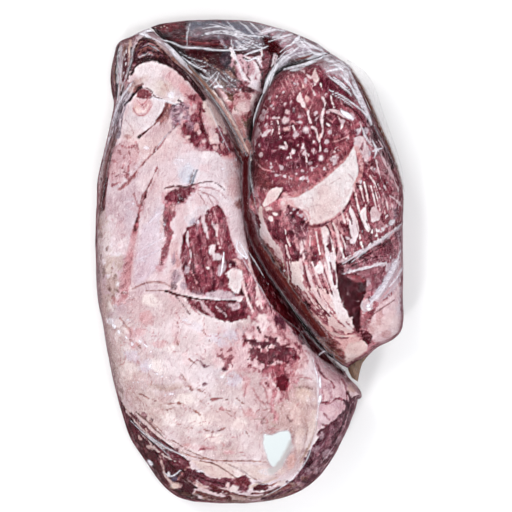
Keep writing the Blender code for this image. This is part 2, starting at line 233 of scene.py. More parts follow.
LARGE_MARKS = """
areas cover 0.6 edge 12 ragged 3 vein 1
218 196 194: 100 300 170 300 250 310 300 370 300 450 250 465 180 455 120 400
areas cover 0.7 edge 6 ragged 3 vein 0.5
214 192 200: 102 150 140 150 130 240 122 300 98 300
areas cover 0.4 edge 14 ragged 4
244 238 241: 160 300 230 330 250 400 200 440 150 380
areas cover 0.36 edge 14 ragged 3
190 160 164: 104 300 170 296 250 312 300 372 304 450 250 462 180 452 120 400
areas cover 0.34 edge 12 ragged 3
186 154 166: 98 186 160 196 152 290 98 304
areas cover 0.4 edge 8 ragged 3
176 144 140: 284 378 322 384 318 430 300 468 268 474 260 440
areas cover 0.25 edge 8 ragged 3
200 170 172: 126 64 150 58 176 66 204 96 180 110 140 100
spots cover 0.42 edge 1 ragged 3
206 186 178: 122 350 9 26 -8, 128 372 12 14 0, 160 416 22 14 20, 150 398 14 8 20, 232 452 16 6 0,
 300 410 8 26 -8
240 234 238: 222 430 34 12 4, 154 368 8 8 0, 160 345 14 8 0, 212 400 26 9 4, 150 310 12 7 0, 196 348 14 6 10,
 240 410 10 10 0, 168 330 10 6 0, 130 356 6 12 -20, 150 215 8 22 12, 205 168 16 10 0
218 186 192: 142 312 14 8 20, 176 322 12 20 10, 206 350 18 8 0, 134 338 8 8 0, 256 400 10 14 0,
 180 300 12 6 0, 120 240 8 22 4, 150 190 10 14 20, 190 160 10 5 0, 262 420 10 10 0, 146 262 10 18 0,
 218 172 10 8 0
208 202 216: 232 334 12 7 0, 222 374 9 7 0, 206 374 8 8 0, 158 224 6 18 10, 186 186 6 12 0, 116 310 8 9 0,
 146 164 8 8 0, 130 212 6 16 0
# margins
lines cover 0.75 ragged 1
176 154 152: 7 108 150 101 176 97 200 96 250 98 300 104 340 112 380 118 404
lines cover 0.8 ragged 1.5
140 96 88: 3 98 196 98 210 100 228
lines cover 0.7 ragged 1.5
150 130 134: 3 97 262 98 286 102 312
lines cover 0.6 ragged 1.5
200 194 190: 1.6 103 330 108 352 114 376
spots cover 0.7 edge 0.4 ragged 2
200 170 156: 109 262 5 10 10
# the folded edge at the upper left
areas cover 0.95 height -0.3 edge 1 ragged 1
150 112 116: 118 36 136 36 134 48 130 66 127 82 135 82 131 92 122 106 118 120 117 136 113.6 154 110 172
 106 192 103 212 92 212 92 190 96 162 101 140 106 116 108 98 105 78 108 54
lines cover 0.92 ragged 0.5
40 16 18: 1.9 111.6 60 110.8 72 111.4 84 113.6 98
lines cover 0.92 ragged 0.6
156 118 102: 1.3 115.6 45 114 57 113.8 70 114.4 82
lines cover 0.92 ragged 0.7
30 6 12: 2.3 118 44 116.8 56 116.2 70 116.6 84 116.4 97
lines cover 0.92 ragged 0.6
66 44 48: 1.7 114 97 113 108 111.5 118 110 126
lines cover 0.92 ragged 0.8
104 50 56: 3.1 116 106 115 116 114 126 112.8 136 112 146 110.4 156 108.4 166 106.5 176 105 186 103.4 196
 102 208
54 14 20: 1.5 115 124 114 134 113.2 143 111.4 153 109.4 163
70 26 32: 1.2 106 178 104.6 188 103 198
lines cover 0.92 ragged 0.6
158 138 134: 1.6 110.4 120 108 132 105.4 145 103 157 101 167 99.2 179
150 110 104: 1.3 98.6 180 97.6 192 97.2 206
lines cover 0.92 ragged 0.8
186 176 188: 1.7 121 45 120 58 120.4 72 120.8 86 119.4 98 118.6 108
lines cover 0.92 ragged 0.6
206 172 160: 1.9 130 40 130 50 128.6 60
lines cover 0.92 ragged 0.5
60 20 28: 1.3 132 48 131 58 129.4 68 127.4 79
lines cover 0.92 ragged 0.6
112 96 112: 0.8 133 86 127 95 121.6 104
130 112 126: 0.7 130 84 124 92 119.6 100
lines cover 0.92 ragged 0.8
172 164 178: 1.4 125 108 120.6 118 118.4 128 116.8 138
lines cover 0.92 ragged 0.6
90 66 80: 1.1 121.6 107 118 116 117 123
210 192 202: 1.2 118 136 116.4 146 114 156 112 166 110 177 108.4 188
areas cover 0.95 edge 0.8 ragged 1.3
156 144 158: 134 80 138 86 132 96 126 106 123 116 122 128 119 138 114.6 134 114 120 115.6 108 120 98 127 88
spots cover 0.85 height -0.2 edge 0.4 ragged 1.2
74 52 64: 125 101 3.2 1.6 -30, 120.4 112 1.1 3 20, 117 124 1.1 3.4 10, 121 122 0.9 3 10, 129 92 1 2.4 30
lines cover 0.75 height -0.1 ragged 0.8
126 110 124: 0.8 133 84 127 92 122 99, 0.7 131 90 125 99 121 106, 0.7 122 106 119 116 117 127, 0.7 126 104
 123 112 120.6 122 118.6 132, 0.6 129 97 125 104
lines cover 0.85 height 0.1 ragged 0.8
214 206 218: 0.8 134 88 129 95 125 101, 0.7 124 108 121 118 119 130, 0.8 118 108 116 118 115.4 128
lines cover 0.95 ragged 0.6
20 0 4: 4.4/1 139.5 88 135 94 130 99.6 124.6 104.4
areas cover 0.95 edge 0.8 ragged 1.2
88 40 50: 122.4 46 128 47 127 60 126 72 124 81 121.6 80 121.8 64
spots cover 0.85 edge 0.4 ragged 0.8
216 208 218: 123.6 54 0.8 1.6 0, 125.6 64 0.7 2 0, 123.6 72 0.8 1.4 0, 126 51 0.7 1 0, 124.6 59 0.6 1 0
# dark meat above the cap
areas cover 0.97 height -0.4 edge 1 ragged 1
48 12 20: 133 50 139 40 150 38 160 46 168 54 177 64 166 61 157 60 147 60 138 62 130 70
lines cover 0.5 ragged 1
170 130 116: 1.04 136 50 140 42 148 39 157 43 165 50 173 58
190 170 180: 0.72 143 46 150 43 157 47
170 140 156: 0.72 138 57 146 52 154 54
150 110 124: 0.64 150 58 157 53 163 56
96 66 84: 0.8 134 58 138 50 143 46
110 62 58: 1.28 160 50 166 56 172 62
lines cover 0.9 height -0.3 ragged 0.5
172 116 98: 3.4 174 58 186 67 196 78 206 91 215 105 224 119
112 60 56: 1.8 194 74 206 88 217 103 227 120 236 136 244 152
40 10 14: 1.4 168 60 178 66 188 75 197 86 205 97 211 108
210 176 170: 0.8 198 82 209 96 219 111 229 128 238 144
206 180 172: 0.8 176 58 186 66 196 78 206 92
# the cap's upper end
spots cover 0.8 edge 0.4 ragged 1.5
244 238 241: 148 70 16 8 0
spots cover 0.7 edge 0.4 ragged 1.5
240 228 233: 166 72 14 5 24
230 190 195: 176 81 14 7 40
224 170 175: 187 92 9 5 40
spots cover 0.8 edge 0.4 ragged 1.5
226 210 202: 160 88 13 8 10
spots cover 0.9 edge 0.4 ragged 1.5
244 238 241: 171 95 5 6 0
spots cover 0.8 edge 0.4 ragged 1.5
200 120 124: 194 100 5 6 30
spots cover 0.6 edge 0.4 ragged 1.5
244 238 241: 180 100 8 4 30
lines cover 0.7 ragged 1
188 154 144: 4.5 130 90 136 83 146 79
lines cover 0.6 ragged 1
130 84 80: 1.8 134 91 138 86 143 84
lines cover 0.8 ragged 0.4
206 176 170: 0.9 165 84 169 92 175 96
lines cover 0.9 height 0.4 ragged 0.4
244 238 241: 2 150 91 158 98 168 103 178 105
areas cover 0.95 height 0.7 edge 1 ragged 0.4
233 223 229: 133 97 140 90 150 90 157 97 167 103 164 109 158 120 150 127 140 136 127 138 123 124 128 112
spots cover 0.9 edge 0.4 ragged 0.8
216 164 168: 142 105 9.5 10 0
spots cover 0.8 edge 0.4 ragged 0.8
232 190 184: 137 109 4 4 0
spots cover 0.7 edge 0.4 ragged 0.8
202 134 140: 148 104 3 6 20
lines cover 0.85 ragged 0.3
236 200 194: 1.2 135 103 138 110 145 111 149 103
186 112 118: 0.8 137 100 142 105 148 99
196 134 140: 0.9 133 108 138 115 146 114 152 105
196 124 130: 0.7 142 104 144 110
206 180 186: 0.7 126 120 132 128 134 136
areas cover 0.95 height -0.6 edge 0.8 ragged 0.5
124 64 72: 136 97 138 91 144 89 150 91 152 97 146 99 139 98
lines cover 0.8 height -0.3 ragged 0.3
116 84 86: 0.9 139 89 146 88 151 91 155 97 161 99
areas cover 0.9 edge 1 ragged 0.8
146 92 92: 167 101 175 107 171 117 162 127 159 121 165 112
lines cover 0.9 height -0.5 ragged 0.5
112 56 58: 1.8 167 103 165 109 161 116 157 121
lines cover 0.8 height -0.4 ragged 0.3
128 84 84: 0.9 158 120 154 125 149 129
lines cover 0.95 height -0.5 ragged 0.4
78 26 30: 1/2 149 129 144 133 139 137
areas cover 0.8 edge 2 ragged 1.5
208 178 184: 150 130 170 118 177 126 163 140 150 152 141 153 140 143
lines cover 0.7 height -0.3 ragged 0.2
138 118 122: 0.9 176 126 165 137 155 150
lines cover 0.7 ragged 1.2
206 164 170: 2.6 157 147 148 158 140 167 130 181 120 189
lines cover 0.7 height -0.3 ragged 1
160 104 106: 1/1.5 157 147 148 158 140 167 130 181 120 189
areas cover 0.8 edge 3 ragged 3
208 168 176: 112 146 128 142 140 148 134 166 120 184 108 182 110 160
lines cover 0.7 height -0.2 ragged 1.5
160 96 104: 1.1 118 150 124 158 122 168 118 174, 1.1 128 150 131 160 128 170, 1.1 112 174 121 172 128 178,
 1.1 136 143 138 152, 1.1 120 144 126 148 132 146, 1.1 112 186 120 182, 1.1 112 160 118 163
spots cover 0.7 edge 0.4 ragged 0.8
170 120 120: 128 137 4 2.6 0
lines cover 0.8 height -0.4 ragged 0.6
146 92 94: 1.1/1.6 157 168 153 177 148 187 142 198 139 211 136 226
lines cover 0.6 ragged 0.5
206 166 172: 1.8 159 170 155 180 150 190 145 200 142 214
lines cover 0.7 ragged 0.8
176 120 126: 1.5 134 194 137 204 141 210
lines cover 0.85 height -0.4 ragged 0.8
196 138 147: 3.2/4.6 136 226 132 243 129 262 127 280 124 296
spots cover 0.8 edge 0.4 ragged 0.8
150 78 84: 124 293 3 3 0
lines cover 0.8 height -0.3 ragged 0.4
168 134 134: 0.8 104 284 112 292 120 296 126 298
spots cover 0.9 edge 0.4 ragged 0.8
244 238 238: 115 255 5 2.4 0
# torn lean over the smooth fat
areas cover 0.85 edge 1.5 ragged 2
190 164 178: 172 104 187 103 193 112 188 123 178 125 169 116
lines cover 0.85 ragged 1.2
96 52 70: 0.9 175 112 182 108 188 110, 1.1 174 120 180 116 185 118, 1.5 178 124 186 126 192 124, 0.7 181 104
 186 112, 1.2 186 104 191 112 192 120
areas cover 0.85 edge 3 ragged 3 streak 0.1
202 150 158: 184 100 200 94 212 102 226 120 240 142 240 160 216 154 200 154 188 146 178 130 186 116
areas cover 0.95 height -0.4 edge 0.8 ragged 2.4 streak 0.2
122 54 68: 185 124 192 116 199 114 203 124 207 136 213 145 224 142 234 150 226 155 212 151 201 152 192 145
 185 134
areas cover 0.8 edge 1 ragged 1.6
164 92 102: 190 96 199 95 204 103 202 114 204 124 199 122 197 112 190 104
lines cover 0.9 height -0.3 ragged 0.8
96 34 46: 1.5 201 103 200 114 203 126 206 136
spots cover 0.85 height -0.2 edge 0.4 ragged 1.3
88 26 42: 194 137 6 4 40, 208 146 5 3 0, 221 138 1.8 5 -26, 228 148 3 3 0, 187 129 4 3 30, 201 128 2.6 5 0,
 224 124 1.4 4 -26, 214 128 1.4 3 0
spots cover 0.9 height 0.3 edge 0.4 ragged 1.4
238 208 206: 214 118 8 15 -30, 226 134 3 9 -26, 213 138 5 6 0, 208 108 6 7 -30
spots cover 0.95 height 0.6 edge 0.4 ragged 0.9
253 238 232: 209 108 5 9 -32, 217 119 4.6 9 -28, 224 130 2.4 6 -26
spots cover 0.9 height 0.2 edge 0.4 ragged 1
222 190 194: 204 141 3 2.6 0, 216 147 3 2 0, 196 126 2 3 0, 188 137 2 1.6 0, 194 107 2.6 4 0, 190 112 3 3 0,
 199 132 1.6 3 0, 212 132 3 5 0
areas cover 0.85 edge 1 ragged 1.8 streak 0.2
134 66 76: 226 126 232 132 239 144 246 158 241 163 233 154 228 142
spots cover 0.85 edge 0.4 ragged 1.2
232 198 200: 233 141 3 5 -20
206 150 156: 229 132 1.6 3 0
166 112 108: 240 153 3.4 4 0
204 136 140: 228 157 6 3.4 0
200 148 150: 237 165 5 4 0
70 24 36: 236 150 1.4 3 -20
# smooth fat over the window
areas cover 0.85 edge 5 ragged 1.5 vein 0
233 222 230: 172 152 200 150 226 158 242 176 243 194 234 206 212 202 200 194 198 178 176 168
spots cover 0.7 edge 0.4 ragged 2
216 178 180: 235 187 8 13 0
spots cover 0.8 edge 0.4 ragged 1.5
150 96 94: 240 203 5 5 0
spots cover 0.8 edge 0.4 ragged 2
206 211 226: 188 174 9 9 0
areas cover 0.8 edge 3 ragged 1 vein 0
223 208 222: 142 228 160 208 162 240 155 270 134 282
lines cover 0.9 height -0.8 ragged 0.4
56 54 70: 1.3 197 170 194 177 192 184
spots cover 0.5 edge 0.4 ragged 1.5
120 126 150: 191 178 3 6 10
lines cover 0.9 height -0.7 ragged 0.2
108 70 76: 1.2/0.5 176 190 186 187 196 184 206 182 216 183 225 190
lines cover 0.8 height -0.5 ragged 0.2
184 144 150: 0.8 197 190 206 194 213 204, 0.8 199 187 210 188 220 192 226 199, 0.8 203 193 212 196 219 203,
 0.8 198 193 203 200 206 208
areas cover 0.8 edge 3 ragged 2.5
200 150 160: 160 196 170 190 184 186 196 185 196 192 186 202 178 209 166 206
areas cover 0.95 height -0.8 edge 0.8 ragged 2.2
106 42 56: 165 197 171 193 178 189 190 187 194 190 187 199 178 205 170 205
spots cover 0.8 edge 0.4 ragged 1.2
84 24 38: 180 200 5 3 20
spots cover 0.8 edge 0.4 ragged 0.8
150 100 110: 193 190 3 2 0
lines cover 0.8 ragged 2
204 156 166: 5 170 206 168 218 168 230 168 242 165 254 160 268
lines cover 0.9 height -0.4 ragged 1.8
126 62 76: 2.6/1 171 207 168 216 167 226 169 238 167 247 163 256 160 267
spots cover 0.8 edge 0.4 ragged 1.4
108 50 64: 166 222 3 5 0
areas cover 0.75 edge 3 ragged 1.5
218 184 190: 174 205 187 206 183 240 178 270 176 300 168 292 172 262 175 236
# the lean window
areas cover 0.7 edge 2 ragged 2
206 168 178: 180 234 188 222 196 214 206 211 212 205 219 204 226 212 230 226 234 242 240 256 252 266 254 284
 246 298 232 302 210 300 190 296 183 286 180 268 178 250
areas cover 1 height -0.6 edge 0.8 ragged 1.2 streak 0.3 vein 0
132 62 76: 183 235 190 225 198 217 206 214 212 208 218 206 224 212 228 226 232 242 238 256 248 266 250 284
 242 294 234 298 214 297 196 293 188 288 183 272 181 252
lines cover 0.85 ragged 1
88 26 42: 2.8 186 236 185 250 187 268
92 34 48: 1.5 196 226 200 244 203 262 207 282
96 38 52: 1.4 208 211 214 232 217 250
84 28 42: 2.6 192 262 196 280 204 294
96 42 56: 1.3 222 212 226 232 229 250
86 30 44: 2.4 212 268 214 284 210 295
178 112 124: 1.5 190 230 194 252 198 270
180 116 128: 1.7 204 236 208 258 212 276
190 136 146: 1 213 209 219 228 222 246
170 104 116: 1 199 222 203 240 206 254
218 204 213: 1.5 188 232 188 243 191 254 190 263
232 218 226: 2.3 203 213 204 223 208 238
226 194 200: 1.2 217 225 217 238 220 248
190 130 138: 0.8 196 282 200 292 207 298
214 186 194: 1 210 214 212 222 216 230
196 136 144: 0.7 192 272 197 284 201 294
areas cover 0.85 edge 1 ragged 2
228 219 227: 185 218 194 210 208 205 207 213 198 217 190 226
spots cover 0.85 edge 0.4 ragged 1.2
190 180 196: 192 222 5 2.6 -30
232 220 226: 212 250 3 6 20
204 188 198: 217 257 5 3.6 0
200 184 194: 222 268 3.6 7 20
244 238 241: 207 268 1.6 1 0
196 178 190: 187 270 3 4 0
222 178 176: 236 262 6 2.6 20
186 120 122: 243 268 4 4 30
80 24 36: 244 293 4 4 0
70 30 42: 232 263 3.4 3 0
82 26 40: 221 284 2.4 6 20
76 22 34: 214 293 6 2.6 0
226 216 222: 230 266 1.4 3 0
150 80 90: 246 282 3 5 0
areas cover 0.95 height 0.5 edge 1 ragged 1.8
240 232 235: 225 273 236 268 246 274 242 286 237 294 228 288 230 280
areas cover 0.8 edge 1.5 ragged 1.5
192 176 187: 206 294 222 290 237 295 239 303 222 301 208 299
areas cover 0.95 edge 1 ragged 1.6 streak 0.3
106 42 56: 188 301 206 303 224 307 238 303 248 297 254 303 247 317 238 322 226 320 212 314 200 309
lines cover 0.85 ragged 0.8
228 198 204: 1.2 200 301 207 309 216 317
150 92 102: 0.8 186 298 192 307 200 315
228 210 216: 1.2 237 299 237 309 234 319
160 100 112: 0.8 208 305 218 310 228 312
196 182 193: 1.6 218 303 228 300 238 304
80 24 38: 2.4 242 306 243 314
124 92 96: 0.9 176 296 183 305 191 316
lines cover 0.8 height -0.3 ragged 0.3
168 128 124: 0.8 146 291 156 290 166 291
lines cover 0.92 height -0.35 ragged 0.3
84 18 30: 1.4/0.6 166 291 178 295 192 298 210 300 234 301
lines cover 0.85 height -0.6 ragged 0.2
178 140 140: 1.1 132 289 143 284 153 282 164 283 174 289
lines cover 0.6 ragged 0.4
214 192 198: 2.2 140 290 152 286 164 286
spots cover 0.7 edge 0.4 ragged 1.6
110 84 92: 174 287 3 3.4 0
lines cover 0.95 height -0.3 ragged 0.8
44 12 18: 2.2 131 74 135 67 141 62 150 60 160 60 168 62, 2.6 160 61 170 64.6 180 72 190 81.4 198 91 204 99
lines cover 0.7 ragged 1
150 96 92: 0.7 140 50 148 47 156 50, 0.6 142 56 150 53 158 56, 0.6 150 43 157 47 163 53, 0.7 136 58 141 52
 146 49
# lines, stains and scattered lean of the upper cap
spots cover 0.8 edge 0.4 ragged 2.2
150 116 132: 181 109 9 5 -20, 177 117 5 6 0, 187 117 4 5 0, 176 124 4 3 0, 190 126 4 4 0
lines cover 0.85 height -0.1 ragged 0.9
104 74 90: 0.8 172 106 180 104 188 108, 0.8 174 111 181 109 189 113, 0.8 173 116 180 114 186 119, 0.7 176 121
 183 120 188 124, 0.7 178 100 184 103 190 102
spots cover 0.85 height -0.2 edge 0.4 ragged 2.2
128 56 70: 192 97 5 3 20, 200 103 2 7 -20, 219 130 3 3 0, 226 140 5 6 0, 184 130 4 5 0, 225 152 5 3 0
spots cover 0.8 height 0.1 edge 0.4 ragged 2
206 150 154: 197 128 2 3 0, 216 146 3 1.6 0, 222 146 1.6 2 0
lines cover 0.8 height -0.4 ragged 1
156 98 106: 1.3 157 167 152 178 147 189 143 200, 1.8 143 200 140 210 137 222 134 234, 1.1 154 150 147 159
 139 169 131 178 122 187, 0.9 178 124 168 134 160 146 152 154, 1 116 176 124 172 130 176
lines cover 0.8 height -0.3 ragged 1
96 52 56: 0.9 155 152 149 158 142 166, 0.8 148 189 144 200 141 208, 0.9 139 212 136 222 134 230, 1.2 166 188
 176 186 186 187 196 184, 0.8 194 170 191 178 189 185
areas cover 0.65 edge 2.5 ragged 2
198 144 150: 134 232 138 234 135 250 131 268 129 284 128 298 121 300 119 288 122 272 126 252
areas cover 0.85 edge 1.4 ragged 2.2 streak 0.2
138 72 84: 164 203 171 204 174 214 171 224 173 234 170 246 167 256 161 264 162 250 166 238 163 228 164 216
spots cover 0.8 edge 0.4 ragged 1.6
200 150 154: 174 250 4 9 0, 172 208 4 6 0, 162 222 2 9 0, 178 262 3 6 0
spots cover 0.62 edge 0.4 ragged 2.4
190 168 158: 104 240 6 13 0, 108 262 7 12 0, 113 283 7 11 0, 103 222 4 8 0, 118 262 5 8 0, 108 306 6 10 0
spots cover 0.7 height -0.1 edge 0.4 ragged 1.4
140 112 108: 101 236 1.4 3 0, 107 249 2 2 0, 112 268 1.4 3 0, 104 272 1 4 0, 116 276 2 2 0, 109 288 1.4 3 0,
 119 292 3 1.4 20, 114 300 1.4 3 0, 101 258 1 3 0
spots cover 0.85 height 0.2 edge 0.4 ragged 1.4
238 232 240: 116 254 4 2 0, 104 262 2 3 0, 112 244 2 2 0, 108 276 2 1.4 0, 118 284 2 2 0
spots cover 0.75 height -0.1 edge 0.4 ragged 1.8
158 132 146: 176 276 4 6 0, 184 286 5 3 20, 196 292 8 2 10, 174 262 1.4 4 0
# clouds, folds and fine lines of the lower cap
spots cover 0.62 edge 0.4 ragged 2.4
200 184 178: 104 330 6 14 0, 108 350 6 14 0, 113 372 6 12 0, 104 312 5 8 0, 119 392 4 8 -20
spots cover 0.55 edge 0.4 ragged 2.4
216 158 162: 138 334 9 6 0, 176 330 4 14 0, 204 334 5 7 20, 146 318 6 8 0, 118 302 6 4 0, 160 344 8 3 10,
 232 356 8 5 0, 186 358 3 10 -20, 222 330 6 3 0, 250 414 6 5 0
spots cover 0.7 height 0.1 edge 0.4 ragged 2.4
220 212 228: 216 340 12 5 20, 232 334 9 6 30, 196 326 8 4 20, 132 356 8 5 30, 148 366 7 6 0, 236 380 8 6 0
spots cover 0.75 height 0.1 edge 0.4 ragged 2.2
250 242 240: 158 366 9 7 20, 186 400 12 6 0, 200 420 16 6 0, 172 350 8 5 0, 150 300 10 6 0, 128 372 5 8 20,
 222 376 4 3 0, 240 424 8 6 0, 216 438 12 5 10, 170 420 8 5 20
lines cover 0.7 height -0.3 ragged 1.5
190 162 152: 3.4 150 386 162 388 174 387 187 384
lines cover 0.75 height -0.25 ragged 0.9
156 108 102: 0.9 168 404 180 403 190 408 198 413, 0.7 166 410 178 407, 0.8 181 374 187 383 192 390,
 0.7 189 359 196 364, 0.8 120 318 128 328 134 337, 0.8 130 340 137 344 142 350, 0.8 211 399 220 398 228 400,
 0.7 236 398 244 404, 0.7 180 424 192 428, 0.6 205 430 215 432 224 428, 0.7 176 318 178 328 176 338 179 346,
 0.6 202 330 207 336 210 342, 0.7 140 394 148 398 156 401, 0.6 226 410 234 413 240 416, 0.7 148 374 152 380
 150 386, 0.6 196 388 206 394, 0.6 246 432 252 440
areas cover 0.94 edge 1 ragged 1.2 streak 0.3
104 38 51: 187 298 200 300 216 301 238 301.4 242 308 239 317 228 321 214 318 200 312 191 306
lines cover 0.72 height 0.1 ragged 1.4
198 164 172: 1.7 201 302 206 309 213 316, 0.9 216 306 221 311 227 316
areas cover 0.7 edge 1.4 ragged 1.8
200 184 192: 226 302 238 302 240 308 234 311 227 307
lines cover 0.95 ragged 0.6
78 14 26: 1.4/0.5 166 291 176 294 188 297 200 299.2 214 300.6 228 301 236 301
# right flank down to the crevice
areas cover 0.9 edge 1.5 ragged 2.2 streak 0.5
166 98 110: 242 256 252 266 262 284 272 306 286 326 300 344 306 358 292 350 276 336 262 326 250 318 246 300
 242 280
lines cover 0.85 ragged 1.2
238 204 204: 1.8 249 264 254 276 258 292 262 308
232 196 198: 1.6 243 282 247 298 253 312
92 34 48: 1.5 252 264 258 280 264 296 272 312
104 44 58: 1.1 246 284 250 300 257 314
68 24 36: 3 284 314 293 328 302 342
154 122 134: 1.2 262 268 269 284 278 300
120 56 68: 1.6 262 300 268 310 276 316
226 190 194: 1.6 270 328 278 336 288 342
214 172 178: 2 284 330 292 338 300 350
spots cover 0.8 edge 0.4 ragged 2
156 92 106: 280 322 8 10 -30
spots cover 0.95 edge 0.4 ragged 1.2
84 32 50: 280 322 5.5 7.5 -30
spots cover 0.9 edge 0.4 ragged 1.6
240 216 214: 262 318 6 4.4 0
240 204 204: 258 303 2 4 0
234 206 208: 268 326 6 4 20
224 204 212: 255 330 5 4 0
234 202 206: 297 354 8 14 -28
226 186 192: 290 342 4 6 -28
"""
